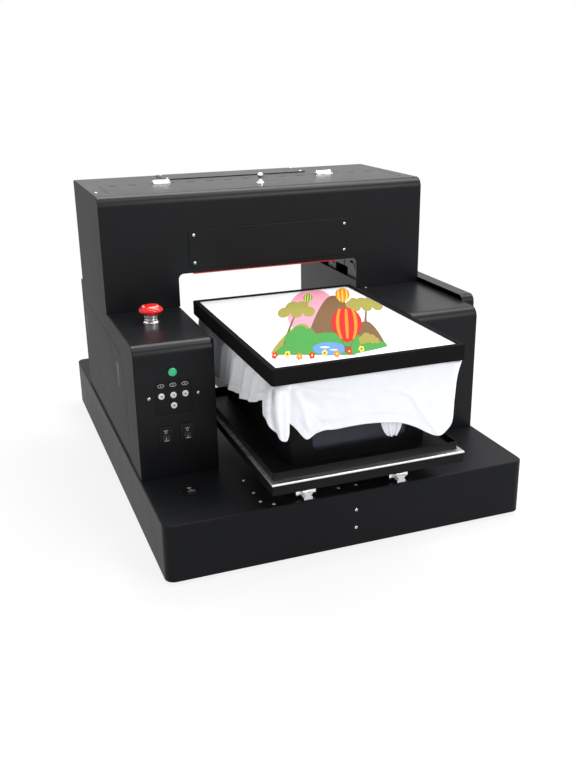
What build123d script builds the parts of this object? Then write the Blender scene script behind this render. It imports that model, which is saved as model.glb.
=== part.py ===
from build123d import *
import math
import os

# A flat-bed garment printer: a platen on rails travels through a bridge-shaped housing.
# Sizes are in millimetres: X to the right, Y to the rear, Z up.
# The origin is the centre of the base's footprint, on the surface that it stands on.

# Clearances
GAP = 0.3
PANEL_GAP = 1.0
RUN = 0.06

# Sides of the small turned parts: those held by hand, those that stand in sight and those inside
KNOB_SIDES = 28
ROUND_SIDES = 20
PULLEY_SIDES = 12
INNER_SIDES = 12

# Base
FOOT_H = 8.0
FOOT_R = 16.0
FOOT_INSET = 42.0
BASE_D = 882.0
BASE_H = 97.5
BASE_WALL = 2.0
BASE_CORNER = 16.0
BASE_EDGE = 1.6
PAN_LIP = 14.0

# Housing of bent sheet
SHEET = 1.5
BEND = 18.0
HOUSING_INSET = 3.0
TOWER_SETBACK = 170.0
TOWER_W = 135.0
TOWER_H = 233.0
HOUSING_REAR_SETBACK = 178.0
TUNNEL_CLEAR = 18.0
WALL_RISE = 13.5
HOOD_SETBACK = 226.5
HOOD_D = 284.5
HOOD_H = 208.0
HOOD_REAR_BEND = 5.0
MOUTH_STEP = 2.5
MOUTH_H = 60.8
MOUTH_R = 10.0

# Hood covers
COVER_W = 320.0
COVER_H = 71.0
COVER_LIFT = 8.7
COVER_R = 9.0
COVER_X = 2.0
LID_MARGINS = (29.0, 22.0)
LID_SETBACK = 38.0
LID_D = 118.0
LID_R = 13.0
LEDGE = 8.0
SLOT_COUNT = 15
SLOT_PITCH = 38.0
SLOT_L = 16.0
SLOT_W = 4.0
SLOT_INSET = 11.0
TOP_PANEL_W = 306.0
TOP_PANEL_D = 78.0
TOP_PANEL_REAR = 10.0
TOP_PANEL_R = 10.0
HINGE_INSET = 121.0
HINGE_W = 32.0
HINGE_LEAF = 11.0
KNUCKLE_R = 3.0
PIN_R = 1.5
LEAF_T = 1.2
KNOB_X = 4.0
KNOB_SETBACK = 60.0
KNOB_R = 7.5
KNOB_H = 20.0

# Left service door
DOOR_SETBACK = 86.0
DOOR_REAR = 11.0
DOOR_TOP = 39.5
DOOR_R = 45.0
DOOR_REAR_R = 8.0
DOOR_SILL = 3.0
DOOR_PIVOT_R = 3.0
DOOR_PIN_R = 1.3
DOOR_KNUCKLE_L = 24.0
LATCH_SETBACK = (150.0, 500.0)
LATCH_DROP = 62.0
LATCH_W = 20.0
LATCH_H = 48.0
LATCH_DEPTH = 10.0
LATCH_BAR_R = 1.8
LATCH_PIN_R = 1.0

# Cabinet on the right tower
CABINET_T = 25.0
CABINET_SETBACK = 52.0
CABINET_D = 365.0
CABINET_RISE = 9.5
CABINET_R = 14.0

# Controls on the left tower, measured from its side, from the middle control and from the base's top
CONTROL_INSET = 63.6
POWER_BUTTON_Z = 186.2
POWER_BUTTON_R = 7.1
PANEL_W = 61.5
PANEL_H = 58.0
PANEL_Z = 141.0
PANEL_R = 4.0
PANEL_T = 2.0
PANEL_LAP = 4.0
PANEL_BOX = 10.0
BUTTON_R = 5.2
BUTTON_PITCH = 20.2
BUTTON_Z = 145.7
LOW_BUTTON_Z = 127.5
BUTTON_PROUD = 1.6
BUTTON_L = 8.0
BEZEL_W = 24.0
BEZEL_H = 33.0
BEZEL_T = 2.0
SWITCH_Z = 77.0
SWITCH_OFFSETS = (-17.4, 19.2)
BASE_SWITCH = (3.4, 105.0)
ROCKER_W = 13.0
ROCKER_R = 10.2
ROCKER_TILT = 10.0
SWITCH_DEPTH = 16.0
STOP_OFFSET = 0.9
STOP_SETBACK = 145.0
STOP_R = 21.0
STOP_TRAVEL = 4.0
STOP_H = 32.5
COLLAR_R = 13.0
COLLAR_H = 13.0
STEM_R = 8.0
NUT_R = 10.6
NUT_DEPTH = 8.0

# Rails and blocks
RAIL_X = 83.0
RAIL_W = 15.0
RAIL_H = 12.5
RAIL_INSET = 3.0
BLOCK_W = 47.0
BLOCK_L = 57.0
BLOCK_H = 24.0
BLOCK_FLANGE = 8.0
BLOCK_SETBACK = 14.0
BLOCK_PITCH = 155.0
BED_TRAVEL = 650.0

# Bed
BED_W = 328.0
BED_D = 421.0
BED_OVERHANG = 54.8
BED_RISE = 67.2
BED_PLATE = 3.0
SKIRT_H = 15.8
CARRIAGE_PLATE_W = 236.0
CARRIAGE_PLATE_T = 8.0
POST_R = 10.0
TRAY_H = 12.2
TRAY_INSET = 13.1
TRAY_SIDE = 6.0
TRAY_REAR = 11.9
PEDESTAL_W = 232.0
PEDESTAL_D = 336.0
PEDESTAL_H = 118.0
PEDESTAL_INSET = 34.0
PEDESTAL_R = 5.0
PEDESTAL_FLANGE = 10.0
FLANGE_INSET = 30.0
WINDOW_W = 160.0
WINDOW_H = 78.0
WINDOW_R = 9.0
WINDOW_LIFT = 22.0

# Platen
PLATEN_W = 318.0
PLATEN_D = 433.0
PLATEN_RISE = 245.2
PLATEN_OVERHANG = 49.7
CLAMP_H = 25.0
CLAMP_LIP = 9.0
CLAMP_WALL = 3.0
CLAMP_LIP_T = 2.1
CLAMP_CORNER = 3.0
PAD_CLEAR = 7.0
PLATE_CORNER = 4.0
PAD_T = 2.0
CLOTH = 1.4
COLUMN_CLEAR = 0.6
COLUMN_OVERLAP = 60.0
SCREW_R = 6.0
SCREW_BEARING_H = 8.0
NUT_H = 12.0

# T-shirt; each hem point is a share of the half width and a drop below the hoop
SKIRT_FLARE = 3.5
FOLD_TOP = 0.8
FOLD_LOW = 3.6
ACROSS_FOLD_COUNT = 4
ALONG_FOLD_COUNT = 4
CLOTH_CORNER = 12.0
CLOTH_DROP = 124.0
HEM_END = 0.926
HEM_FAR = 2.1
HEM_SAG = 0.12
HEM_FRONT = ((-HEM_FAR, 90), (-0.87, 90), (-0.84, 64), (-0.64, 93), (-0.35, 83), (0.17, 86))
HEM_FRONT_RIGHT = ((0.6, 107), (0.9, 121), (0.99, 100), (HEM_FAR, 36))
HEM_LEFT = ((-HEM_END, 64), (-0.82, 42), (-0.57, 59), (-0.32, 71), (0.36, 83), (0.73, 74), (HEM_END, 80))
HEM_RIGHT = ((-HEM_END, 70), (-0.41, 90), (-0.03, 74), (0.4, 92), (HEM_END, 78))
HEM_REAR = ((-HEM_FAR, 80), (-0.4, 86), (0.1, 72), (0.55, 88), (HEM_FAR, 78))

# Print engine; each slot of the bracket is a setback, a width, a height and a lift
BRACKET_T = 1.5
BRACKET_OUT = 4.0
BRACKET_SETBACK = 14.5
BRACKET_D = 143.0
BRACKET_H = 62.0
BRACKET_FOOT = 12.0
BRACKET_NOTCH = (44.0, 38.0, 30.0)
BRACKET_SLOTS = ((10, 5, 14, 38), (26, 16, 5, 44), (62, 5, 16, 36), (84, 12, 5, 46), (116, 6, 18, 32))
HEAD_GAP = 3.3
HEAD_W = 72.0
HEAD_D = 75.0
HEAD_SETBACK = 207.0
CARRIAGE_W = 85.0
CARRIAGE_D = 130.0
CARRIAGE_H = 32.0
CARRIAGE_LIFT = 69.5
CARRIAGE_OFFSET = -2.0
CARRIAGE_WALL = 3.0
NOZZLE_STEP = 8.0
NOZZLE_H = 14.0
CAP_FOOT = 8.0
CAP_WALL = 2.0
ROD_R = 5.0
ROD_SETBACK = 139.5
END_PLATE_INSET = 12.0
END_PLATE_FOOT = 14.0
END_PLATE_D = 166.0
END_PLATE_H = 131.5
BEAM_INSET = 28.0
BEAM_D = 20.0
BEAM_Z = 56.5
BEAM_H = 65.0
HEAD_PULLEY_R = 8.0
HEAD_PULLEY_INSET = 42.0
HEAD_PULLEY_SETBACK = 6.5
HEAD_BELT_Z = 101.5
HEAD_BELT_W = 8.0
BELT_T = 1.2

# Bed drive
BED_PULLEY_R = 12.0
BED_PULLEY_Z = 67.0
BED_PULLEY_INSET = 41.0
BED_BELT_W = 10.0
BED_BELT_T = 1.5
MOTOR_W = 39.0
MOTOR_L = 38.0
MOTOR_OUT = 12.0
MOTOR_CORNER = 4.0
SHAFT_R = 2.5
SHAFT_SEAT = 12.0
FLANGE_T = 1.5
FLANGE_RISE = 2.5
FORK_W = 10.0
FORK_L = 30.0
BRACKET_PLATE = 3.0
BRACKET_DROP = 20.0
DRIVE_SLOT_W = 19.0
CLAMP_L = 30.0

# Left tower's inside; each chip is a setback and a lift on the board, a width and a height
SUPPLY_SETBACK = 331.0
SUPPLY_W = 50.0
SUPPLY_D = 155.0
SUPPLY_H = 98.0
SUPPLY_LIFT = 40.0
BOARD_SETBACK = 181.0
BOARD_D = 130.0
BOARD_H = 140.0
BOARD_LIFT = 60.0
BOARD_T = 2.0
BOARD_POST = 6.0
CHIP_T = 8.0
CHIPS = ((30, 30, 36, 30), (90, 36, 24, 40), (40, 90, 40, 26), (100, 105, 30, 36))
TANK_COUNT = 6
TANK_PITCH = 34.0
TANK_SETBACK = 111.0
TANK_INSET = 60.0
TANK_W = 56.0
TANK_H = 110.0
TANK_GAP = 3.0
TANK_CUT = 4.0
TANK_CAP_R = 11.0
TANK_CAP_H = 14.0

# Power inlet
INLET_OUT = 40.0
INLET_W = 46.0
INLET_H = 26.0
INLET_DEPTH = 24.0
INLET_RIM = 5.0
INLET_WALL = 4.0
INLET_PINS = ((-7, -2), (0, 3), (7, -2))

# Small fasteners
SCREW_HEAD_R = 2.7
SCREW_HEAD_H = 1.2
SCREW_INSET = 10.0
SCREW_SIDE_COUNT = 8
TOWER_SCREW = 16.0
CONTROL_SCREWS = (-41.1, 42.0)
BASE_SCREWS = ((-157, 109), (-156, 60), (-156, 27), (-139, 11), (-22, 24), (9, 24))

# Places that follow from the sizes
BASE_TOP = FOOT_H + BASE_H
BASE_FRONT = -BASE_D / 2
TUNNEL_W = BED_W + 2 * TUNNEL_CLEAR
MOUTH_W = TUNNEL_W - 2 * MOUTH_STEP
INNER = TUNNEL_W / 2
SIDE = INNER + TOWER_W
BASE_W = 2 * (SIDE + HOUSING_INSET)
TOWER_FRONT = BASE_FRONT + TOWER_SETBACK
TOWER_TOP = BASE_TOP + TOWER_H
HOUSING_REAR = BASE_D / 2 - HOUSING_REAR_SETBACK
HOOD_FRONT = TOWER_FRONT + HOOD_SETBACK
HOOD_REAR = HOOD_FRONT + HOOD_D
HOOD_TOP = TOWER_TOP + HOOD_H
WALL_TOP = TOWER_TOP + WALL_RISE
BED_FRONT = BASE_FRONT - BED_OVERHANG
BED_TOP = BASE_TOP + BED_RISE
PLATEN_FRONT = BASE_FRONT - PLATEN_OVERHANG
PLATEN_REAR = PLATEN_FRONT + PLATEN_D
PLATEN_Y = PLATEN_FRONT + PLATEN_D / 2
PLATEN_TOP = BASE_TOP + PLATEN_RISE
CLOTH_TOP = PLATEN_TOP - CLAMP_LIP_T - GAP
PAD_TOP = CLOTH_TOP - CLOTH - GAP
COLUMN_TOP = PAD_TOP - PAD_T - SHEET
TRAY_W = BED_W - 2 * TRAY_SIDE
TRAY_D = BED_D - TRAY_INSET - TRAY_REAR
PEDESTAL_Y = (BED_FRONT + TRAY_INSET + PEDESTAL_INSET, BED_FRONT + TRAY_INSET + PEDESTAL_INSET + PEDESTAL_D)
PEDESTAL_TOP = BED_TOP + SHEET + PEDESTAL_H
DOOR_Y = (TOWER_FRONT + DOOR_SETBACK, HOUSING_REAR - DOOR_REAR)
DOOR_Z = (BASE_TOP + DOOR_SILL + GAP + DOOR_PIVOT_R, TOWER_TOP - DOOR_TOP)
DOOR_AXIS_X = -SIDE + DOOR_PIVOT_R
BED_PULLEY_Y = BASE_D / 2 - BED_PULLEY_INSET
BLOCK_Y = BASE_FRONT + BLOCK_SETBACK + BLOCK_L / 2
CARRIAGE_Z = TOWER_TOP + CARRIAGE_LIFT
HEAD_BOTTOM = PLATEN_TOP + HEAD_GAP
HEAD_Y = HOOD_FRONT + HEAD_SETBACK
BEAM_Y = HOOD_REAR - BEAM_INSET
HEAD_PULLEY_X = SIDE - HEAD_PULLEY_INSET
HEAD_PULLEY_Y = BEAM_Y + HEAD_PULLEY_SETBACK
CARRIAGE_X = (SIDE + INNER) / 2 + CARRIAGE_OFFSET
END_PLATE_X = SIDE - END_PLATE_INSET
LID_X = (LID_MARGINS[0] - SIDE, SIDE - LID_MARGINS[1])
HINGE_X = (LID_X[0] + HINGE_INSET, LID_X[1] - HINGE_INSET)
CONTROL_X = CONTROL_INSET - SIDE
SWITCH_X = tuple(CONTROL_X + offset for offset in SWITCH_OFFSETS)
STOP_X = CONTROL_X + STOP_OFFSET
LID_Y = (HOOD_FRONT + LID_SETBACK, HOOD_FRONT + LID_SETBACK + LID_D)
HINGE_Y = LID_Y[1] + PANEL_GAP / 2
HINGE_Z = HOOD_TOP + KNUCKLE_R


def mid(pair):
    return (pair[0] + pair[1]) / 2


def size(pair):
    return pair[1] - pair[0]


def grown(pair, by):
    return (pair[0] - by, pair[1] + by)


def about(centre, width):
    return (centre - width / 2, centre + width / 2)


def span(x, y, z):
    """A box between two limits on each axis."""
    return Pos(mid(x), mid(y), mid(z)) * Box(size(x), size(y), size(z))


def round_y(x, y, z, radius):
    """A box with the edges along Y rounded."""
    outline = Plane.XZ * Pos(mid(x), mid(z)) * RectangleRounded(size(x), size(z), radius)
    return Pos(0, y[1], 0) * extrude(outline, size(y))


def round_z(x, y, z, radius):
    """A box with the edges along Z rounded."""
    outline = Pos(mid(x), mid(y)) * RectangleRounded(size(x), size(y), radius)
    return Pos(0, 0, z[0]) * extrude(outline, size(z))


def rod_x(x, y, z, radius):
    return Pos(mid(x), y, z) * Rot(0, 90, 0) * Cylinder(radius, size(x))


def rod_y(x, y, z, radius):
    return Pos(x, mid(y), z) * Rot(90, 0, 0) * Cylinder(radius, size(y))


def rod_z(x, y, z, radius):
    return Pos(x, y, mid(z)) * Cylinder(radius, size(z))


def prism(radius, height, sides):
    """A many-sided rod about its own Z axis, for small parts that repeat."""
    return Pos(0, 0, -height / 2) * extrude(RegularPolygon(radius, sides), height)


def hole(radius, height, sides):
    """A many-sided cutter about its own Z axis that clears a round rod of this radius."""
    return prism(radius / math.cos(math.pi / sides), height, sides)


def skinned(rings, corners):
    """A solid through closed rings of points, with flat faces of three or four corners between them."""
    faces = [Face(Wire.make_polygon(ring)) for ring in (rings[0], rings[-1])]
    for low, high in zip(rings, rings[1:]):
        for index in range(len(low)):
            after = (index + 1) % len(low)
            quad = [low[index], low[after], high[after], high[index]]
            pieces = [quad] if corners == 4 else [quad[:3], [quad[0], quad[2], quad[3]]]
            faces += [Face(Wire.make_polygon(piece)) for piece in pieces]
    return Solid(Shell(faces))


def turned(outline, sides):
    """A many-sided turned form about its own Z axis, from radii and heights that rise."""
    turns = [2 * math.pi * index / sides for index in range(sides)]
    rings = [[(r * math.cos(turn), r * math.sin(turn), z) for turn in turns] for r, z in outline]
    return skinned(rings, 4)


def cut_corners(width, height, cut):
    """A rectangle with its corners cut off."""
    return chamfer(Rectangle(width, height).vertices(), cut)


def bent(x, y, z, radius):
    """A box with its front top edge rounded."""
    body = span(x, y, z)
    edge = body.edges().filter_by(Axis.X).group_by(Axis.Z)[-1].sort_by(Axis.Y)[0]
    return fillet(edge, radius)


def mirrored(body):
    """The same piece on the other side of the middle."""
    return mirror(body, Plane.YZ)


def joined(bodies):
    """Several bodies fused into one."""
    whole = bodies[0]
    for body in bodies[1:]:
        whole = whole + body
    return whole


def group(bodies):
    """Several separate solids in one node."""
    return Compound(children=[solid for body in bodies for solid in body.solids()])


def base_housing():
    """The base, a tray upside down, with the drive slot, the switch hole and the rear socket hole."""
    x = about(0, BASE_W)
    y = about(0, BASE_D)
    shell = round_z(x, y, (FOOT_H, BASE_TOP), BASE_CORNER)
    shell = chamfer(shell.faces().sort_by(Axis.Z)[-1].edges(), BASE_EDGE)
    hollow_z = (0, BASE_TOP - BASE_WALL)
    inside = round_z(grown(x, -BASE_WALL), grown(y, -BASE_WALL), hollow_z, BASE_CORNER - BASE_WALL)
    clamp_y = BLOCK_Y + BLOCK_PITCH / 2
    slot_y = (clamp_y - CLAMP_L, clamp_y + BED_TRAVEL + CLAMP_L)
    slot = round_z(about(0, DRIVE_SLOT_W), slot_y, (FOOT_H + BASE_H / 2, BASE_TOP + 1), DRIVE_SLOT_W / 3)
    return shell - inside - slot - switch_hole(base_switch_place()) - socket_hole()


def base_pan():
    """The pan that closes the base from below, its lip standing inside the walls."""
    x = grown(about(0, BASE_W), -BASE_WALL - GAP)
    y = grown(about(0, BASE_D), -BASE_WALL - GAP)
    radius = BASE_CORNER - BASE_WALL - GAP
    outer = round_z(x, y, (FOOT_H, FOOT_H + PAN_LIP), radius)
    inner = round_z(grown(x, -SHEET), grown(y, -SHEET), (FOOT_H + SHEET, BASE_TOP), radius - SHEET)
    return outer - inner


def rubber_feet():
    """Four tapered rubber feet."""
    feet = []
    for x in (-1, 1):
        for y in (-1, 1):
            place = Pos(x * (BASE_W / 2 - FOOT_INSET), y * (BASE_D / 2 - FOOT_INSET), 0)
            feet.append(place * turned([(FOOT_R - 2, 0), (FOOT_R, FOOT_H)], ROUND_SIDES))
    return group(feet)


def rail_profile(width, height):
    """Outline of a rail, with the waist that the balls run in."""
    half = width / 2
    waist = half - 2.2
    points = [
        (-half, 0), (half, 0), (half, height * 0.35), (waist, height * 0.5), (waist, height * 0.65),
        (half, height * 0.8), (half - 0.8, height), (0.8 - half, height), (-half, height * 0.8),
        (-waist, height * 0.65), (-waist, height * 0.5), (-half, height * 0.35),
    ]
    return make_face(Polyline(*points, close=True))


def guide_rails():
    """Two profile rails along the base's top."""
    length = BASE_D - 2 * RAIL_INSET
    rails = []
    for x in (-RAIL_X, RAIL_X):
        profile = Plane.XZ * rail_profile(RAIL_W, RAIL_H)
        rails.append(Pos(x, length / 2, BASE_TOP) * extrude(profile, length))
    return group(rails)


def bearing_blocks():
    """Four flanged blocks, each hooked round its rail."""
    blocks = []
    half = BLOCK_W / 2
    low = 4.5
    step = RAIL_W / 2 + 9.5
    ledge = BLOCK_H - BLOCK_FLANGE
    outline = [(-step, low), (step, low), (step, ledge), (half, ledge)]
    outline += [(half, BLOCK_H), (-half, BLOCK_H), (-half, ledge), (-step, ledge)]
    body = extrude(Plane.XZ * make_face(Polyline(*outline, close=True)), BLOCK_L)
    groove = extrude(Plane.XZ * rail_profile(RAIL_W + 4 * GAP, RAIL_H + 2 * GAP), 3 * BLOCK_L)
    body = Pos(0, BLOCK_L / 2, 0) * body - Pos(0, 1.5 * BLOCK_L, 0) * groove
    cap_y = (BLOCK_L / 2 - 4, BLOCK_L / 2 - 3)
    for side in (-1, 1):
        seam = sorted(side * value for value in cap_y)
        body = body - span(about(0, BLOCK_W + 2), seam, (0, low + 3))
    for x in (-RAIL_X, RAIL_X):
        for y in (BLOCK_Y, BLOCK_Y + BLOCK_PITCH):
            blocks.append(Pos(x, y, BASE_TOP) * body)
    return group(blocks)


def tower_cover():
    """Front and top of the left tower, bent from one sheet."""
    x = (-SIDE + SHEET, -INNER - SHEET)
    y = (TOWER_FRONT, HOUSING_REAR - SHEET)
    z = (BASE_TOP, TOWER_TOP)
    inner = bent(grown(x, 1), (y[0] + SHEET, y[1] + 1), (z[0] - 1, z[1] - SHEET), BEND - SHEET)
    return bent(x, y, z, BEND) - inner


def left_tower_cover():
    """The left tower's cover with the holes for its controls."""
    cover = tower_cover()
    for place in tower_switch_places():
        cover = cover - switch_hole(place)
    through = grown((TOWER_FRONT, TOWER_FRONT + SHEET), 1)
    button = in_front(CONTROL_X, BASE_TOP + POWER_BUTTON_Z)
    cover = cover - button * hole(POWER_BUTTON_R + GAP, 4 * SHEET, ROUND_SIDES)
    panel_z = about(BASE_TOP + PANEL_Z, PANEL_H)
    cover = cover - round_y(about(CONTROL_X, PANEL_W), through, panel_z, PANEL_R)
    return cover - stop_place() * hole(NUT_R + GAP, 4 * SHEET, KNOB_SIDES)


def side_panel():
    """Outer side and rear of the left tower, bent from one sheet."""
    z = (BASE_TOP, TOWER_TOP)
    side = bent((-SIDE, -SIDE + SHEET), (TOWER_FRONT, HOUSING_REAR), z, BEND)
    rear = span((-SIDE + SHEET / 2, -INNER - SHEET), (HOUSING_REAR - SHEET, HOUSING_REAR), z)
    return side + rear


def door_outline(gap):
    """Outline of the door on the side, with its large round corner at the front."""
    y0 = DOOR_Y[0] - gap
    y1 = DOOR_Y[1] + gap
    z0 = DOOR_Z[0] - (DOOR_PIVOT_R + GAP if gap else 0)
    z1 = DOOR_Z[1] + gap
    big = DOOR_R + gap
    small = DOOR_REAR_R + gap
    turn = 1 - math.sqrt(0.5)
    outline = Curve() + [
        Line((y0, z0), (y0, z1 - big)),
        ThreePointArc((y0, z1 - big), (y0 + big * turn, z1 - big * turn), (y0 + big, z1)),
        Line((y0 + big, z1), (y1 - small, z1)),
        ThreePointArc((y1 - small, z1), (y1 - small * turn, z1 - small * turn), (y1, z1 - small)),
        Line((y1, z1 - small), (y1, z0)),
        Line((y1, z0), (y0, z0)),
    ]
    return Plane.YZ * make_face(outline)


def left_side_panel():
    """The left side with the door's opening and the two pins of the door."""
    opening = Pos(-SIDE - 1, 0, 0) * extrude(door_outline(PANEL_GAP), SHEET + 2)
    panel = side_panel() - opening
    pins = []
    for y, end in door_pivots():
        lug_y = sorted((end, end + math.copysign(6, end - y)))
        lug = span((-SIDE + SHEET, DOOR_AXIS_X + DOOR_PIVOT_R), lug_y, (BASE_TOP, DOOR_Z[0] + DOOR_PIVOT_R))
        pin_y = sorted((end, y))
        pins.append(lug + rod_y(DOOR_AXIS_X, pin_y, DOOR_Z[0], DOOR_PIN_R))
    return joined([panel] + pins)


def door_pivots():
    """For each end of the door, the middle of its knuckle and the face of the lug beside it."""
    inset = DOOR_KNUCKLE_L / 2
    near = GAP + PANEL_GAP
    return (
        (DOOR_Y[0] + inset, DOOR_Y[0] - near),
        (DOOR_Y[1] - inset, DOOR_Y[1] + near),
    )


def latch_places():
    """Centres of the two latches in Y."""
    return [TOWER_FRONT + setback for setback in LATCH_SETBACK]


def left_door():
    """The service door, with its knuckles and the cups of its latches."""
    door = Pos(-SIDE, 0, 0) * extrude(door_outline(0), SHEET)
    for y, _ in door_pivots():
        axis = Pos(DOOR_AXIS_X, y, DOOR_Z[0]) * Rot(90, 0, 0)
        door = door + axis * prism(DOOR_PIVOT_R, DOOR_KNUCKLE_L, INNER_SIDES)
        door = door - axis * hole(DOOR_PIN_R + RUN, DOOR_KNUCKLE_L + 2, INNER_SIDES)
    z = latch_z()
    for y in latch_places():
        cup = span((-SIDE + SHEET / 2, -SIDE + LATCH_DEPTH), grown(about(y, LATCH_W), SHEET), grown(z, SHEET))
        hollow = span((-SIDE - 1, -SIDE + LATCH_DEPTH - SHEET), about(y, LATCH_W), z)
        axis = Pos(-SIDE + LATCH_BAR_R, y, z[1] - LATCH_BAR_R - GAP) * Rot(90, 0, 0)
        door = door + cup - hollow - axis * hole(LATCH_PIN_R + RUN, LATCH_W + 1.6, INNER_SIDES)
    return door


def latch_z():
    return about(DOOR_Z[1] - LATCH_DROP + LATCH_H / 4, LATCH_H)


def latch(y):
    """A flush paddle that swings out about the bar along its top."""
    z = latch_z()
    bar_z = z[1] - LATCH_BAR_R - GAP
    width = LATCH_W - 2 * GAP
    paddle = span((-SIDE, -SIDE + SHEET), about(y, width), (z[0] + GAP, bar_z))
    bar = Pos(-SIDE + LATCH_BAR_R, y, bar_z) * Rot(90, 0, 0) * prism(LATCH_BAR_R, width, INNER_SIDES)
    pin = rod_y(-SIDE + LATCH_BAR_R, about(y, LATCH_W + 1.4), bar_z, LATCH_PIN_R)
    return paddle + bar + pin


def inner_walls():
    """The two walls of the tunnel, which stand higher inside the hood."""
    x = (-INNER - SHEET, -INNER)
    wall = span(x, (TOWER_FRONT, HOUSING_REAR), (BASE_TOP, TOWER_TOP))
    inside = grown((HOOD_FRONT, HOOD_REAR), -SHEET - PANEL_GAP)
    wall = wall + span(x, inside, (TOWER_TOP - SHEET, WALL_TOP))
    return group([wall, mirrored(wall)])


def hood_body(inset, x):
    """The hood's outer form, or its inside at a given inset."""
    y = grown((HOOD_FRONT, HOOD_REAR), -inset)
    z = (TOWER_TOP - (1 if inset else 0), HOOD_TOP - inset)
    body = bent(x, y, z, BEND - inset)
    rear = body.edges().filter_by(Axis.X).group_by(Axis.Z)[-1].sort_by(Axis.Y)[-1]
    return fillet(rear, HOOD_REAR_BEND - inset)


def hood_cover():
    """Front, top and rear of the hood, bent from one sheet and open to the tunnel."""
    x = (-SIDE + SHEET, SIDE - SHEET)
    wrap = hood_body(0, x) - hood_body(SHEET, grown(x, 1))
    mouth_z = (TOWER_TOP - MOUTH_R - 1, TOWER_TOP + MOUTH_H)
    wrap = wrap - round_y(about(0, MOUTH_W), (HOOD_FRONT - 1, HOOD_REAR + 1), mouth_z, MOUTH_R)
    above = (HOOD_TOP - SHEET - 1, HOOD_TOP + 1)
    wrap = wrap - round_z(grown(LID_X, PANEL_GAP), grown(LID_Y, PANEL_GAP / 2), above, LID_R + PANEL_GAP / 2)
    ledge_z = (HOOD_TOP - 2 * SHEET, HOOD_TOP - SHEET)
    rim = span(grown(LID_X, LEDGE), (LID_Y[0] - LEDGE, LID_Y[1] - LID_R), ledge_z)
    hollow = span(grown(LID_X, -LEDGE), (LID_Y[0] + LEDGE, LID_Y[1]), grown(ledge_z, 1))
    return wrap + (rim - hollow)


def hood_side_plates():
    """The hood's two flat sides."""
    side = hood_body(0, (-SIDE, -SIDE + SHEET))
    return group([side, mirrored(side)])


def front_cover_plate():
    """Plate screwed to the hood's front over the opening."""
    z = (TOWER_TOP + MOUTH_H + COVER_LIFT, TOWER_TOP + MOUTH_H + COVER_LIFT + COVER_H)
    return round_y(about(COVER_X, COVER_W), (HOOD_FRONT - SHEET, HOOD_FRONT), z, COVER_R)


def rear_top_panel():
    """Plate screwed to the hood's top behind the lid."""
    y = (HOOD_REAR - TOP_PANEL_REAR - TOP_PANEL_D, HOOD_REAR - TOP_PANEL_REAR)
    return round_z(about(0, TOP_PANEL_W), y, (HOOD_TOP, HOOD_TOP + SHEET), TOP_PANEL_R)


def top_lid():
    """The slotted lid, which lies in the hood's top on a ledge."""
    lid = round_z(LID_X, LID_Y, (HOOD_TOP - SHEET, HOOD_TOP), LID_R)
    first = mid(LID_X) - SLOT_PITCH * (SLOT_COUNT - 1) / 2
    for index in range(SLOT_COUNT):
        slot_x = about(first + SLOT_PITCH * index, SLOT_L)
        lid = lid - span(slot_x, about(LID_Y[1] - SLOT_INSET, SLOT_W), (HOOD_TOP - 2 * SHEET, HOOD_TOP + 1))
    return lid


def lid_knob():
    """A turned knob, wide at its foot."""
    neck = KNOB_R * 0.4
    head = KNOB_R * 0.7
    outline = [(KNOB_R, 0), (KNOB_R, 3), (neck, 6), (neck, KNOB_H * 0.55)]
    outline += [(head, KNOB_H * 0.66), (head, KNOB_H * 0.9), (neck, KNOB_H)]
    return Pos(KNOB_X, HOOD_FRONT + KNOB_SETBACK, HOOD_TOP) * turned(outline, ROUND_SIDES)


def hinge_part(x, side, knuckles):
    """One leaf of a lid hinge with its knuckles; side is -1 for the lid and 1 for the hood."""
    leaf_y = sorted((HINGE_Y + side * (KNUCKLE_R + GAP), HINGE_Y + side * (KNUCKLE_R + HINGE_LEAF)))
    part = span(about(x, HINGE_W), leaf_y, (HOOD_TOP, HOOD_TOP + LEAF_T))
    for low, high in knuckles:
        limits = (x + low * HINGE_W + GAP / 2, x + high * HINGE_W - GAP / 2)
        arm_y = sorted((HINGE_Y, HINGE_Y + side * (KNUCKLE_R + 2)))
        arm = span(limits, arm_y, (HOOD_TOP, HOOD_TOP + LEAF_T))
        place = Pos(mid(limits), HINGE_Y, HINGE_Z) * Rot(0, 90, 0)
        part = part + place * prism(KNUCKLE_R, size(limits), INNER_SIDES) + arm
    return part


def lid_hinge_leaves():
    """The leaves on the lid, with one knuckle in the middle."""
    leaves = []
    for x in HINGE_X:
        leaf = hinge_part(x, -1, [(-1 / 6, 1 / 6)])
        leaves.append(leaf - rod_x(about(x, HINGE_W), HINGE_Y, HINGE_Z, PIN_R + RUN))
    return group(leaves)


def lid_hinges():
    """The leaves on the hood, with two knuckles and the pin."""
    leaves = []
    for x in HINGE_X:
        leaf = hinge_part(x, 1, [(-1 / 2, -1 / 6), (1 / 6, 1 / 2)])
        leaves.append(leaf + rod_x(about(x, HINGE_W / 2), HINGE_Y, HINGE_Z, PIN_R))
    return group(leaves)


def side_cabinet():
    """Narrow cover on the right tower's side, open towards the tower."""
    x = (SIDE, SIDE + CABINET_T)
    y = (TOWER_FRONT + CABINET_SETBACK, TOWER_FRONT + CABINET_SETBACK + CABINET_D)
    z = (BASE_TOP, TOWER_TOP + CABINET_RISE)
    outer = bent(x, y, z, CABINET_R)
    inner = bent((x[0] - 1, x[1] - SHEET), grown(y, -SHEET), grown(z, -SHEET), CABINET_R - SHEET)
    return outer - inner


def in_front(x, z):
    """Placement of a control on the tower's front: its own Z points out to the front."""
    return Pos(x, TOWER_FRONT, z) * Rot(90, 0, 0)


def tower_switch_places():
    return [in_front(x, BASE_TOP + SWITCH_Z) for x in SWITCH_X]


def base_switch_place():
    return Pos(CONTROL_X + BASE_SWITCH[0], BASE_FRONT + BASE_SWITCH[1], BASE_TOP)


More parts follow.
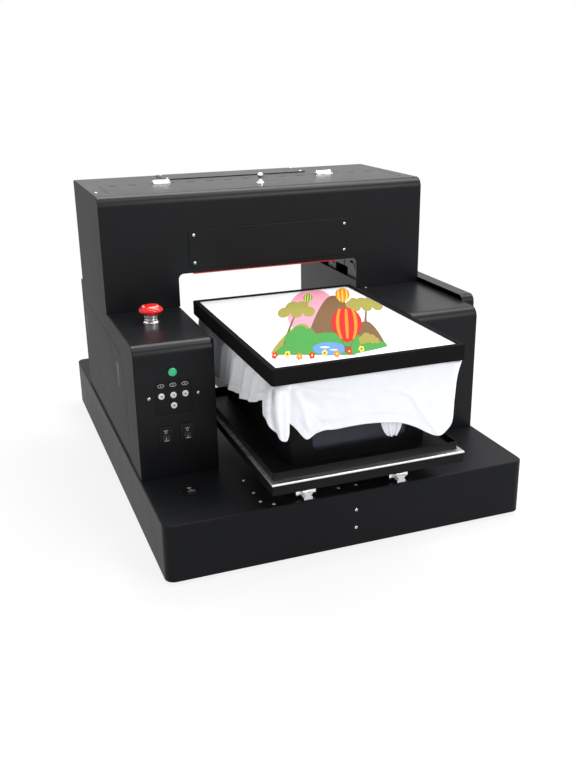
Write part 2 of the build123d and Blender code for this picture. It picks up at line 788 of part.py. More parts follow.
def switch_hole(place):
    """Hole in the sheet for a rocker switch's body."""
    return place * Box(BEZEL_W - 3 + 2 * GAP, BEZEL_H - 3 + 2 * GAP, 4 * BASE_WALL)


def switch_bezel():
    """A rocker switch's body, with the window that the rocker tips in."""
    rim = extrude(cut_corners(BEZEL_W, BEZEL_H, 1.2), BEZEL_T)
    body = Pos(0, 0, -SWITCH_DEPTH / 2) * Box(BEZEL_W - 3, BEZEL_H - 3, SWITCH_DEPTH)
    window = Box(ROCKER_W + 2 * GAP, 2 * (ROCKER_R + GAP), SWITCH_DEPTH)
    window = Pos(0, 0, BEZEL_T - SWITCH_DEPTH / 2) * window
    return rim + body - window + Rot(0, 90, 0) * prism(PIN_R, ROCKER_W + 4, INNER_SIDES)


def rocker():
    """A rocker with a shallow V on its face, round at its ends about the pivot."""
    rise = ROCKER_R * math.tan(math.radians(ROCKER_TILT))
    low = BEZEL_T + 0.4
    outline = [(-ROCKER_R, -4), (ROCKER_R, -4), (ROCKER_R, low + rise), (0, low), (-ROCKER_R, low + rise)]
    face = Plane.YZ * make_face(Polyline(*outline, close=True))
    wedge = Pos(-ROCKER_W / 2, 0, 0) * extrude(face, ROCKER_W)
    drum = rod_x(about(0, ROCKER_W), 0, 0, ROCKER_R)
    body = wedge & drum
    body = body - Rot(0, 90, 0) * hole(PIN_R + RUN, ROCKER_W + 2, INNER_SIDES)
    return Rot(-ROCKER_TILT, 0, 0) * body


def button_bezel():
    """Round black collar of the power button."""
    ring = prism(POWER_BUTTON_R + 3, SHEET, ROUND_SIDES) - hole(POWER_BUTTON_R + GAP, 3 * SHEET, ROUND_SIDES)
    return in_front(CONTROL_X, BASE_TOP + POWER_BUTTON_Z) * Pos(0, 0, SHEET / 2) * ring


def switch_bezels():
    """The bodies of the three rocker switches and the power button's collar."""
    places = tower_switch_places() + [base_switch_place()]
    return group([place * switch_bezel() for place in places] + [button_bezel()])


def round_button(radius, proud, length):
    """A button with a chamfered face."""
    return turned([(radius, proud - length), (radius, proud - 0.6), (radius - 0.6, proud)], ROUND_SIDES)


def power_button():
    return in_front(CONTROL_X, BASE_TOP + POWER_BUTTON_Z) * round_button(POWER_BUTTON_R, 3.5, 12)


def panel_button_places():
    """Three buttons in a row and one below the middle one."""
    row = [(CONTROL_X + BUTTON_PITCH * step, BASE_TOP + BUTTON_Z) for step in (-1, 0, 1)]
    return row + [(CONTROL_X, BASE_TOP + LOW_BUTTON_Z)]


def panel_button(index):
    x, z = panel_button_places()[index]
    return in_front(x, z) * Pos(0, 0, -SHEET) * round_button(BUTTON_R, BUTTON_PROUD, BUTTON_L)


def control_panel():
    """The panel behind the tower's sheet, with the holes of its buttons and a box for their switches."""
    y = (TOWER_FRONT + SHEET, TOWER_FRONT + SHEET + PANEL_T)
    x = grown(about(CONTROL_X, PANEL_W), PANEL_LAP)
    z = grown(about(BASE_TOP + PANEL_Z, PANEL_H), PANEL_LAP)
    outer = PANEL_LAP / 2
    inner = outer + SHEET
    box = span(grown(x, -outer), (y[1], y[1] + PANEL_BOX), grown(z, -outer))
    box = box - span(grown(x, -inner), (y[0], y[1] + PANEL_BOX - SHEET), grown(z, -inner))
    panel = span(x, y, z) + box
    for bx, bz in panel_button_places():
        panel = panel - in_front(bx, bz) * hole(BUTTON_R + GAP, 6 * SHEET, ROUND_SIDES)
    return panel


def stop_place():
    return Pos(STOP_X, TOWER_FRONT + STOP_SETBACK, TOWER_TOP)


def estop_collar():
    """The stop's chrome collar and the nut under the sheet."""
    collar = turned([(COLLAR_R + 2, 0), (COLLAR_R, 3), (COLLAR_R, COLLAR_H)], KNOB_SIDES)
    nut = turned([(NUT_R, -NUT_DEPTH), (NUT_R, 0)], KNOB_SIDES)
    return stop_place() * (collar + nut - hole(STEM_R + GAP, 4 * COLLAR_H, KNOB_SIDES))


def estop_head():
    """The red mushroom head and its stem."""
    rim = COLLAR_H + STOP_TRAVEL + 2 * GAP
    rise = STOP_H - rim
    stem = turned([(STEM_R, 1), (STEM_R, rim + 1)], KNOB_SIDES)
    shape = [(0.9, 0), (1, 0.2), (0.93, 0.51), (0.77, 0.76), (0.52, 0.96), (0.25, 1)]
    outline = [(STOP_R * across, rim + rise * up) for across, up in shape]
    return stop_place() * (stem + turned(outline, KNOB_SIDES))


def carriage_plate():
    """The plate on the blocks, its posts under the bed and the tongue that grips the belt."""
    top = BASE_TOP + BLOCK_H
    y = (BLOCK_Y - BLOCK_L / 2, BLOCK_Y + BLOCK_PITCH + BLOCK_L / 2)
    plate = span(about(0, CARRIAGE_PLATE_W), y, (top, top + CARRIAGE_PLATE_T))
    posts = []
    for x in (-1, 1):
        for py in (y[0] + 2 * POST_R, y[1] - 2 * POST_R):
            post_z = (top + CARRIAGE_PLATE_T, BED_TOP - BED_PLATE)
            place = Pos(x * (CARRIAGE_PLATE_W / 2 - 2 * POST_R), py, mid(post_z))
            posts.append(place * prism(POST_R, size(post_z), INNER_SIDES))
    belt = FOOT_H + BED_PULLEY_Z + BED_PULLEY_R + GAP
    tongue_z = (belt - 4, top)
    tongue = span(about(0, BED_BELT_W + 4), about(mid(y), CLAMP_L), tongue_z)
    slit_z = grown((belt, belt + BED_BELT_T), GAP)
    slit = span(about(0, BED_BELT_W + 2 * GAP), about(mid(y), CLAMP_L + 2), slit_z)
    return joined([plate] + posts + [tongue - slit])


def bed_plate():
    """The bed's silver plate."""
    y = (BED_FRONT, BED_FRONT + BED_D)
    plate = span(about(0, BED_W), y, (BED_TOP - BED_PLATE, BED_TOP))
    return chamfer(plate.faces().sort_by(Axis.Z)[-1].edges(), 0.8)


def bed_skirt():
    """The black skirt under the bed plate's edge."""
    x = grown(about(0, BED_W), -1)
    y = grown((BED_FRONT, BED_FRONT + BED_D), -1)
    z = (BED_TOP - BED_PLATE - SKIRT_H, BED_TOP - BED_PLATE)
    return span(x, y, z) - span(grown(x, -SHEET), grown(y, -SHEET), grown(z, 1))


def tray_y():
    return (BED_FRONT + TRAY_INSET, BED_FRONT + TRAY_INSET + TRAY_D)


def platen_tray():
    """The black tray on the bed, open at its top."""
    z = (BED_TOP, BED_TOP + TRAY_H)
    x = about(0, TRAY_W)
    outer = round_z(x, tray_y(), z, 2)
    return outer - span(grown(x, -SHEET), grown(tray_y(), -SHEET), (z[0] + SHEET, z[1] + 1))


def window_limits():
    z0 = BED_TOP + SHEET + WINDOW_LIFT
    return about(0, WINDOW_W), (z0, z0 + WINDOW_H)


def pedestal():
    """The box that stands in the tray, with a window in its front and the column's mouth in its top."""
    x = about(0, PEDESTAL_W)
    z = (BED_TOP + SHEET, PEDESTAL_TOP)
    outer = round_z(x, PEDESTAL_Y, z, PEDESTAL_R)
    inner = span(grown(x, -SHEET), grown(PEDESTAL_Y, -SHEET), grown(z, 1))
    wx, wz = window_limits()
    front = grown((PEDESTAL_Y[0], PEDESTAL_Y[0] + SHEET), 1)
    foot = span(grown(x, PEDESTAL_FLANGE), grown(PEDESTAL_Y, -FLANGE_INSET), (z[0], z[0] + SHEET))
    foot = foot - span(grown(x, -PEDESTAL_FLANGE), PEDESTAL_Y, grown(z, 1))
    bearing = Pos(0, PLATEN_Y, z[0] + SCREW_BEARING_H / 2) * prism(3 * SCREW_R, SCREW_BEARING_H, INNER_SIDES)
    web = span(grown(x, -SHEET / 2), about(PLATEN_Y, 6 * SCREW_R), (z[0], z[0] + SHEET))
    bearing = bearing + web - Pos(0, PLATEN_Y, z[0]) * hole(SCREW_R + RUN, 4 * SCREW_BEARING_H, INNER_SIDES)
    return outer - inner - round_y(wx, front, wz, WINDOW_R) + foot + bearing


def pedestal_window():
    """The window's pane, set in the front from outside."""
    wx, wz = window_limits()
    y = (PEDESTAL_Y[0], PEDESTAL_Y[0] + SHEET)
    return round_y(grown(wx, -GAP), y, grown(wz, -GAP), WINDOW_R - GAP)


def lift_screw():
    """The screw that raises the platen, with its collar on the bearing."""
    foot = BED_TOP + SHEET
    screw = rod_z(0, PLATEN_Y, (foot + GAP, PEDESTAL_TOP), SCREW_R)
    collar_z = foot + SCREW_BEARING_H + GAP + SCREW_R / 2
    return screw + Pos(0, PLATEN_Y, collar_z) * prism(2 * SCREW_R, SCREW_R, INNER_SIDES)


def platen_column():
    """The column that slides in the pedestal, open below, with the screw's nut inside."""
    inset = SHEET + COLUMN_CLEAR
    x = grown(about(0, PEDESTAL_W), -inset)
    y = grown(PEDESTAL_Y, -inset)
    z = (PEDESTAL_TOP - COLUMN_OVERLAP, COLUMN_TOP)
    outer = round_z(x, y, z, PEDESTAL_R - SHEET)
    inner = span(grown(x, -SHEET), grown(y, -SHEET), (z[0] - 1, z[1] - SHEET))
    nut = Pos(0, PLATEN_Y, z[0] + NUT_H / 2) * prism(3 * SCREW_R, NUT_H, 6)
    bridge = span(grown(x, -SHEET / 2), about(PLATEN_Y, 8 * SCREW_R), (z[0], z[0] + 3))
    thread = Pos(0, PLATEN_Y, z[0]) * hole(SCREW_R + RUN, 4 * NUT_H, INNER_SIDES)
    return outer - inner + nut + bridge - thread


def platen_plate():
    """The platen, a pan upside down with a pad on it."""
    x = grown(about(0, PLATEN_W), -CLAMP_WALL - PAD_CLEAR)
    y = grown((PLATEN_FRONT, PLATEN_REAR), -CLAMP_WALL - PAD_CLEAR)
    z = (PLATEN_TOP - CLAMP_H + 2, PAD_TOP)
    outer = round_z(x, y, z, PLATE_CORNER)
    inner = round_z(grown(x, -SHEET), grown(y, -SHEET), (z[0] - 1, COLUMN_TOP), PLATE_CORNER - SHEET)
    return outer - inner


def clamp_frame():
    """The hoop that clamps the garment round the platen's edge."""
    x = about(0, PLATEN_W)
    y = (PLATEN_FRONT, PLATEN_REAR)
    z = (PLATEN_TOP - CLAMP_H, PLATEN_TOP)
    outer = round_z(x, y, z, CLAMP_CORNER)
    outer = chamfer(outer.faces().sort_by(Axis.Z)[-1].edges(), 0.6)
    below = span(grown(x, -CLAMP_WALL), grown(y, -CLAMP_WALL), (z[0] - 1, z[1] - CLAMP_LIP_T))
    return outer - below - span(grown(x, -CLAMP_LIP), grown(y, -CLAMP_LIP), grown(z, 1))


def cloth_half():
    """Half the width and half the depth of the cloth under the hoop."""
    half = PLATEN_W / 2 - CLAMP_WALL - PAD_CLEAR / 2 + CLOTH / 2
    return half, half + (PLATEN_D - PLATEN_W) / 2


def side_point(side, along, out, z):
    """A point of a side of the cloth, so far along it and so far out from it."""
    (x, y), (dx, dy), _, _ = side
    return (x + dx * along + dy * out, PLATEN_Y + y + dy * along - dx * out, z)


def cloth_ring(inset, z, wave):
    """The points round the cloth at one height, waving in and out along each side."""
    half_x, half_y = (half - inset for half in cloth_half())
    corner = CLOTH_CORNER
    turn = corner * (1 - math.sqrt(0.5))
    across = 2 * (half_x - corner)
    deep = 2 * (half_y - corner)
    sides = (
        ((corner - half_x, -half_y), (1, 0), across, ACROSS_FOLD_COUNT),
        ((half_x, corner - half_y), (0, 1), deep, ALONG_FOLD_COUNT),
        ((half_x - corner, half_y), (-1, 0), across, ACROSS_FOLD_COUNT),
        ((-half_x, half_y - corner), (0, -1), deep, ALONG_FOLD_COUNT),
    )
    points = []
    for side in sides:
        length, folds = side[2:]
        step = length / folds
        for index in range(folds):
            bulge = wave if index % 2 == 0 else -wave
            points.append(side_point(side, step * index, 0, z))
            points.append(side_point(side, step * (index + 0.5), bulge, z))
        points.append(side_point(side, length, 0, z))
        points.append(side_point(side, length + corner - turn, -turn, z))
    return points


def hem_face(hem, middle, half):
    """What is cut away below a hem, as a face; the hem runs through its points in arcs."""
    base = PLATEN_TOP - CLAMP_H
    points = [(middle + share * half, base - drop) for share, drop in hem]
    edges = []
    for (a, za), (b, zb) in zip(points, points[1:]):
        edges.append(ThreePointArc((a, za), ((a + b) / 2, (za + zb) / 2 + HEM_SAG * (b - a)), (b, zb)))
    floor = base - 2 * CLOTH_DROP
    first, last = points[0], points[-1]
    low_first, low_last = (first[0], floor), (last[0], floor)
    edges += [Line(last, low_last), Line(low_last, low_first), Line(low_first, first)]
    return make_face(Curve() + edges)


def hem_cuts():
    """The cutters of the four hems."""
    half_x, half_y = cloth_half()
    front = Plane.XZ * hem_face(HEM_FRONT + HEM_FRONT_RIGHT, 0, half_x)
    rear = Plane.XZ * hem_face(HEM_REAR, 0, half_x)
    left = Plane.YZ * hem_face(HEM_LEFT, PLATEN_Y, half_y)
    right = Plane.YZ * hem_face(HEM_RIGHT, PLATEN_Y, half_y)
    depth = (1 - HEM_END) * half_y + 2 * SKIRT_FLARE + 2 * FOLD_LOW
    return [
        Pos(0, PLATEN_Y - HEM_END * half_y, 0) * extrude(front, depth),
        Pos(0, PLATEN_Y + HEM_END * half_y + depth, 0) * extrude(rear, depth),
        Pos(-PLATEN_W, 0, 0) * extrude(left, 3 * PLATEN_W / 4),
        Pos(PLATEN_W / 4, 0, 0) * extrude(right, 3 * PLATEN_W / 4),
    ]


def cloth_skirt(tuck):
    """The part that hangs below the hoop, in folds that deepen downwards."""
    low = tuck - CLOTH_DROP
    shells = []
    for inset in (0, CLOTH):
        rings = [cloth_ring(inset, tuck, FOLD_TOP), cloth_ring(inset - SKIRT_FLARE, low, FOLD_LOW)]
        shells.append(skinned(rings, 3))
    skirt = shells[0] - shells[1]
    for cut in hem_cuts():
        skirt = skirt - cut
    return skirt


def tshirt():
    """The garment: flat over the platen, tucked under the hoop, hanging in folds below it."""
    half_x, half_y = cloth_half()
    tuck = PLATEN_TOP - CLAMP_H - GAP
    x = (-half_x, half_x)
    y = (PLATEN_Y - half_y, PLATEN_Y + half_y)
    top = round_z(x, y, (tuck, CLOTH_TOP), PLATE_CORNER)
    under = (tuck - 1, CLOTH_TOP - CLOTH)
    top = top - round_z(grown(x, -CLOTH), grown(y, -CLOTH), under, PLATE_CORNER - CLOTH)
    return top + cloth_skirt(tuck)


def engine_bracket():
    """A stamped grey bracket beside the tunnel's left wall, with slots and a foot."""
    x = (-INNER - SHEET - BRACKET_OUT - BRACKET_T, -INNER - SHEET - BRACKET_OUT)
    y = (HOOD_FRONT + BRACKET_SETBACK, HOOD_FRONT + BRACKET_SETBACK + BRACKET_D)
    z = (TOWER_TOP, TOWER_TOP + BRACKET_H)
    plate = span(x, y, z) + span((x[0] - BRACKET_FOOT, x[1]), y, (z[0], z[0] + BRACKET_T))
    front, rear, height = BRACKET_NOTCH
    plate = plate - span(grown(x, 1), (y[0] + front, y[1] - rear), (z[0] + BRACKET_T, z[0] + height))
    for setback, width, height, lift in BRACKET_SLOTS:
        slot_y = about(y[0] + setback, width)
        plate = plate - span(grown(x, 1), slot_y, about(z[0] + lift, height))
    return plate


def head_pulley_z():
    return about(TOWER_TOP + HEAD_BELT_Z, HEAD_BELT_W + 2 * GAP)


def engine_frame():
    """The brackets, the end plates on the towers and the channel that carries the belt's pulleys."""
    y = (BEAM_Y + BEAM_D - END_PLATE_D, BEAM_Y + BEAM_D)
    plate = span((-END_PLATE_X, -END_PLATE_X + SHEET), y, (TOWER_TOP, TOWER_TOP + END_PLATE_H))
    plate = plate + span((-END_PLATE_X, -END_PLATE_X + END_PLATE_FOOT), y, (TOWER_TOP, TOWER_TOP + SHEET))
    bore_x = grown((-END_PLATE_X, -END_PLATE_X + SHEET), 1)
    plate = plate - rod_x(bore_x, HOOD_FRONT + ROD_SETBACK, rod_z_place(), ROD_R)
    inside = (-END_PLATE_X + SHEET, END_PLATE_X - SHEET)
    z = (TOWER_TOP + BEAM_Z, TOWER_TOP + BEAM_Z + BEAM_H)
    beam_y = (BEAM_Y, BEAM_Y + BEAM_D)
    beam = span(inside, beam_y, z)
    beam = beam - span(grown(inside, 1), (beam_y[0] - 1, beam_y[1] - SHEET), grown(z, -SHEET))
    beam = beam - Pos(-HEAD_PULLEY_X, HEAD_PULLEY_Y, z[0]) * hole(SHAFT_R + 1, 4 * SHEET, INNER_SIDES)
    axle_z = (z[0] + SHEET / 2, z[1] - SHEET / 2)
    axle = rod_z(HEAD_PULLEY_X, HEAD_PULLEY_Y, axle_z, SHAFT_R)
    seat_z = (z[0] + SHEET / 2, head_pulley_z()[0] - FLANGE_T - GAP)
    seat = Pos(HEAD_PULLEY_X, HEAD_PULLEY_Y, mid(seat_z)) * prism(SHAFT_R + 2, size(seat_z), INNER_SIDES)
    bracket = engine_bracket()
    return group([bracket, mirrored(bracket), plate, mirrored(plate), beam + axle + seat])


def rod_z_place():
    return CARRIAGE_Z + CARRIAGE_H / 2


def carriage_guide_rod():
    """The ground rod that the carriage slides on."""
    return rod_x((-END_PLATE_X, END_PLATE_X), HOOD_FRONT + ROD_SETBACK, rod_z_place(), ROD_R)


def pulley(radius, width, axle, bored):
    """A flanged pulley about its own Z axis, bored for an axle or on a shaft of its own."""
    drum = prism(radius, width + 2 * GAP, PULLEY_SIDES)
    for side in (-1, 1):
        flange = prism(radius + FLANGE_RISE, FLANGE_T, PULLEY_SIDES)
        flange = Pos(0, 0, side * (width / 2 + GAP + FLANGE_T / 2)) * flange
        drum = drum + flange
    if bored:
        drum = drum - Cylinder(axle + RUN, 2 * width)
    return drum


def head_drive_pulley():
    """The pulley on the carriage motor's shaft."""
    place = Pos(-HEAD_PULLEY_X, HEAD_PULLEY_Y, TOWER_TOP + HEAD_BELT_Z)
    shaft_z = (TOWER_TOP + BEAM_Z - SHAFT_SEAT, TOWER_TOP + HEAD_BELT_Z)
    shaft = rod_z(-HEAD_PULLEY_X, HEAD_PULLEY_Y, shaft_z, SHAFT_R)
    return place * pulley(HEAD_PULLEY_R, HEAD_BELT_W, SHAFT_R, False) + shaft


def head_idler_pulley():
    """The pulley at the belt's other end."""
    place = Pos(HEAD_PULLEY_X, HEAD_PULLEY_Y, TOWER_TOP + HEAD_BELT_Z)
    return place * pulley(HEAD_PULLEY_R, HEAD_BELT_W, SHAFT_R, True)


def bed_pulley_place(y):
    return Pos(0, y, FOOT_H + BED_PULLEY_Z) * Rot(0, 90, 0)


def bed_drive_pulley():
    """The pulley on the bed motor's shaft."""
    shaft = rod_x((0, bed_motor_x() + SHAFT_SEAT), BED_PULLEY_Y, FOOT_H + BED_PULLEY_Z, SHAFT_R)
    return bed_pulley_place(BED_PULLEY_Y) * pulley(BED_PULLEY_R, BED_BELT_W, SHAFT_R, False) + shaft


def bed_idler_pulley():
    """The pulley at the front end of the bed's belt."""
    return bed_pulley_place(-BED_PULLEY_Y) * pulley(BED_PULLEY_R, BED_BELT_W, SHAFT_R, True)


def bed_motor_x():
    return BED_BELT_W / 2 + MOTOR_OUT


def motor(bore):
    """A square stepping motor about its own Z axis, its face at the origin."""
    body = Pos(0, 0, -MOTOR_L / 2) * Box(MOTOR_W, MOTOR_W, MOTOR_L)
    body = chamfer(body.edges().filter_by(Axis.Z), MOTOR_CORNER)
    return body - hole(bore, 2 * (SHAFT_SEAT + 2), INNER_SIDES)


def drive_motors():
    """The motors of the bed and of the carriage, with the bed drive's brackets."""
    bed = Pos(bed_motor_x(), BED_PULLEY_Y, FOOT_H + BED_PULLEY_Z) * Rot(0, -90, 0) * motor(SHAFT_R + RUN)
    head = Pos(-HEAD_PULLEY_X, HEAD_PULLEY_Y, TOWER_TOP + BEAM_Z) * motor(SHAFT_R + RUN)
    return group([bed, head] + pulley_brackets())


def belt_outline(length, radius):
    """A slot on its own X axis, its round ends in as many straight steps as an inner part has."""
    points = []
    for index in range(INNER_SIDES):
        angle = math.pi * (2 * index + 1) / INNER_SIDES - math.pi / 2
        shift = math.copysign(length / 2, math.cos(angle))
        points.append((shift + radius * math.cos(angle), radius * math.sin(angle)))
    return make_face(Polyline(*points, close=True))


def belt_loop(length, radius, thickness, width):
    """A belt round two pulleys on its own X axis."""
    clear = (radius + GAP) / math.cos(math.pi / INNER_SIDES)
    loop = belt_outline(length, clear + thickness) - belt_outline(length, clear)
    return Pos(0, 0, -width / 2) * extrude(loop, width)


def drive_belts():
    """The toothed belts of the bed and of the carriage."""
    bed = Pos(0, 0, FOOT_H + BED_PULLEY_Z) * Rot(0, 90, 0) * Rot(0, 0, 90)
    head = Pos(0, HEAD_PULLEY_Y, TOWER_TOP + HEAD_BELT_Z)
    return group([
        bed * belt_loop(2 * BED_PULLEY_Y, BED_PULLEY_R, BED_BELT_T, BED_BELT_W),
        head * belt_loop(2 * HEAD_PULLEY_X, HEAD_PULLEY_R, BELT_T, HEAD_BELT_W),
    ])


def pulley_brackets():
    """The fork of the bed's front pulley and the angle that holds the bed's motor."""
    axle_z = FOOT_H + BED_PULLEY_Z
    z = (axle_z - BRACKET_DROP, BASE_TOP - BASE_WALL)
    top = (z[1] - BRACKET_PLATE, z[1])
    reach = (BED_BELT_W + FORK_W) / 2
    front_y = about(-BED_PULLEY_Y, FORK_L)
    fork = span(about(0, 2 * (reach + BRACKET_PLATE)), front_y, top)
    for side in (-1, 1):
        cheek_x = sorted((side * reach, side * (reach + BRACKET_PLATE)))
        fork = fork + span(cheek_x, front_y, z)
    fork = fork + rod_x(about(0, 2 * reach + BRACKET_PLATE), -BED_PULLEY_Y, axle_z, SHAFT_R)
    plate_x = (bed_motor_x() - BRACKET_PLATE, bed_motor_x())
    motor_y = about(BED_PULLEY_Y, MOTOR_W)
    angle = span(plate_x, motor_y, z) + span((plate_x[0], plate_x[0] + FORK_L), motor_y, top)
    axis = Pos(mid(plate_x), BED_PULLEY_Y, axle_z) * Rot(0, 90, 0)
    angle = angle - axis * hole(SHAFT_R + 1, 2 * BRACKET_PLATE, INNER_SIDES)
    return [fork, angle]


def print_carriage():
    """The carriage on its rod, with its foot on the channel and its clip round the belt."""
    wall = CARRIAGE_WALL
    x = about(CARRIAGE_X, CARRIAGE_W)
    rear = HEAD_Y + HEAD_D / 2 + 2 * wall
    y = (rear - CARRIAGE_D, rear)
    z = (CARRIAGE_Z, CARRIAGE_Z + CARRIAGE_H)
    rod_y_place = HOOD_FRONT + ROD_SETBACK
    hollow_y = (rod_y_place + ROD_R + 2 * wall, rear - wall)
    outline = Pos(mid(x), mid(y)) * cut_corners(size(x), size(y), 2 * wall)
    body = Pos(0, 0, z[0]) * extrude(outline, size(z))
    body = body - span(grown(x, -2 * wall), hollow_y, (z[0] + wall, z[1] + 1))
    body = body - rod_x(grown(x, 1), rod_y_place, rod_z_place(), ROD_R + RUN)
    foot_x = about(CARRIAGE_X, CARRIAGE_W / 3)
    foot_z = TOWER_TOP + BEAM_Z + SHEET + GAP
    foot = span(foot_x, (rear - wall, BEAM_Y + 8), (foot_z, foot_z + wall))
    foot = foot + span(foot_x, (rear - wall, rear), (foot_z, z[0] + wall))
    belt_y = HEAD_PULLEY_Y - HEAD_PULLEY_R - GAP - BELT_T
    belt_z = about(TOWER_TOP + HEAD_BELT_Z, HEAD_BELT_W)
    clip = span(foot_x, (rear - wall, belt_y + BELT_T + 2), grown(belt_z, wall))
    clip = clip - span(grown(foot_x, 1), grown((belt_y, belt_y + BELT_T), GAP), grown(belt_z, GAP))
    neck = span(foot_x, (rear - wall, rear), (z[1] - wall, belt_z[1] + wall))
    return joined([body, foot, clip, neck])


def print_head():
    """The head under the carriage, stepped in to its nozzle plate."""
    x = about(CARRIAGE_X, HEAD_W)
    y = about(HEAD_Y, HEAD_D)
    step = HEAD_BOTTOM + NOZZLE_H
    nozzles = span(grown(x, -NOZZLE_STEP), grown(y, -NOZZLE_STEP), (HEAD_BOTTOM, step))
    return span(x, y, (step, CARRIAGE_Z)) + nozzles


def capping_station():
    """The parking station on the right tower, with two open caps."""
    y = about(HEAD_Y, HEAD_D)
    cap_y = grown(y, -2 * NOZZLE_STEP)
    foot = TOWER_TOP + CAP_FOOT
    top = HEAD_BOTTOM - 1
    station = span(about(CARRIAGE_X, HEAD_W), y, (TOWER_TOP, foot))
    for side in (-1, 1):
        cap_x = about(CARRIAGE_X + side * HEAD_W / 4, HEAD_W / 3)
        well = span(grown(cap_x, -CAP_WALL), grown(cap_y, -CAP_WALL), (foot + CAP_WALL, top + 1))
        station = station + span(cap_x, cap_y, (foot, top)) - well
    return station


def electronics():
    """The power supply and the control board in the left tower."""
    wall = -INNER - SHEET
    supply_y = TOWER_FRONT + SUPPLY_SETBACK
    supply_z = BASE_TOP + SUPPLY_LIFT
    supply = span((wall - SUPPLY_W, wall), (supply_y, supply_y + SUPPLY_D), (supply_z, supply_z + SUPPLY_H))
    y = (TOWER_FRONT + BOARD_SETBACK, TOWER_FRONT + BOARD_SETBACK + BOARD_D)
    z = (BASE_TOP + BOARD_LIFT, BASE_TOP + BOARD_LIFT + BOARD_H)
    face = wall - BOARD_POST - BOARD_T
    bodies = [span((face, face + BOARD_T), y, z)]
    for setback, lift, width, height in CHIPS:
        bodies.append(span((face - CHIP_T, face), about(y[0] + setback, width), about(z[0] + lift, height)))
    for post_y in grown(y, -BOARD_POST):
        for post_z in grown(z, -BOARD_POST):
            post = Rot(0, 90, 0) * prism(BOARD_POST / 2, BOARD_POST, 6)
            bodies.append(Pos(wall - BOARD_POST / 2, post_y, post_z) * post)
    return group([supply, joined(bodies)])


def ink_tanks():
    """A row of ink tanks in the left tower, with round caps."""
    tanks = []
    x = -SIDE + TANK_INSET
    z = (BASE_TOP, BASE_TOP + TANK_H)
    for index in range(TANK_COUNT):
        y = TOWER_FRONT + TANK_SETBACK + TANK_PITCH * index
        tank = Pos(x, y, z[0]) * extrude(cut_corners(TANK_W, TANK_PITCH - TANK_GAP, TANK_CUT), TANK_H)
        tanks.append(tank + Pos(x, y, z[1] + TANK_CAP_H / 2) * prism(TANK_CAP_R, TANK_CAP_H, INNER_SIDES))
    return group(tanks)


def inlet_place():
    """Centre of the power inlet on the base's rear, in X and Z."""
    return -INNER - INLET_OUT, BASE_TOP - BASE_H / 2


def socket_hole():
    """Hole for the power inlet in the base's rear."""
    x, z = inlet_place()
    through = grown((BASE_D / 2 - BASE_WALL, BASE_D / 2), 1)
    return span(about(x, INLET_W + 2 * GAP), through, about(z, INLET_H + 2 * GAP))


def power_inlet():
    """The power inlet, a flanged socket with three pins."""
    x, z = inlet_place()
    rear = BASE_D / 2
    rim = 2 * INLET_RIM
    flange = cut_corners(INLET_W + rim, INLET_H + rim, INLET_WALL)
    flange = Pos(x, rear, z) * Rot(90, 0, 0) * Pos(0, 0, -2) * extrude(flange, 2)
    inlet = flange + span(about(x, INLET_W), (rear - INLET_DEPTH, rear), about(z, INLET_H))
    well_x = about(x, INLET_W - 2 * rim)
    well_z = about(z, INLET_H - 2 * INLET_WALL)
    floor = rear - INLET_DEPTH + INLET_WALL
    inlet = inlet - span(well_x, (floor, rear + 3), well_z)
    for dx, dz in INLET_PINS:
        inlet = inlet + span(about(x + dx, 2), (floor - 1, rear - 3), about(z + dz, 4))
    return inlet


def front_screw(x, face, z):
    """A screw head on a face that looks to the front."""
    head = prism(SCREW_HEAD_R, SCREW_HEAD_H, SCREW_SIDE_COUNT)
    return Pos(x, face - SCREW_HEAD_H / 2, z) * Rot(90, 0, 0) * head


def top_screw(x, y, face):
    """A screw head on a face that looks up."""
    return Pos(x, y, face + SCREW_HEAD_H / 2) * prism(SCREW_HEAD_R, SCREW_HEAD_H, SCREW_SIDE_COUNT)


def panel_screws():
    """The screws of the covers, panels and brackets."""
    screws = []
    cover_z = about(TOWER_TOP + MOUTH_H + COVER_LIFT + COVER_H / 2, COVER_H - 2 * SCREW_INSET)
    panel_y = about(HOOD_REAR - TOP_PANEL_REAR - TOP_PANEL_D / 2, TOP_PANEL_D - 2 * SCREW_INSET)
    for x in about(COVER_X, COVER_W - 2 * SCREW_INSET):
        screws += [front_screw(x, HOOD_FRONT - SHEET, z) for z in cover_z]
    for x in about(0, TOP_PANEL_W - 2 * SCREW_INSET):
        screws += [top_screw(x, y, HOOD_TOP + SHEET) for y in panel_y]
    for x in CONTROL_SCREWS:
        screws.append(front_screw(CONTROL_X + x, TOWER_FRONT, BASE_TOP + BUTTON_Z - 1))
    for z in about(BASE_TOP - BASE_H / 2, BASE_H / 3):
        screws.append(front_screw(0, BASE_FRONT, z))
    for x, setback in BASE_SCREWS:
        screws.append(top_screw(x, BASE_FRONT + setback, BASE_TOP))
    screws.append(top_screw(-SIDE + SCREW_INSET, HOOD_FRONT + 7 * SCREW_INSET, HOOD_TOP))
    screws.append(top_screw(INNER + TOWER_SCREW, HOOD_FRONT - SCREW_INSET / 2, TOWER_TOP))
    return group(screws)


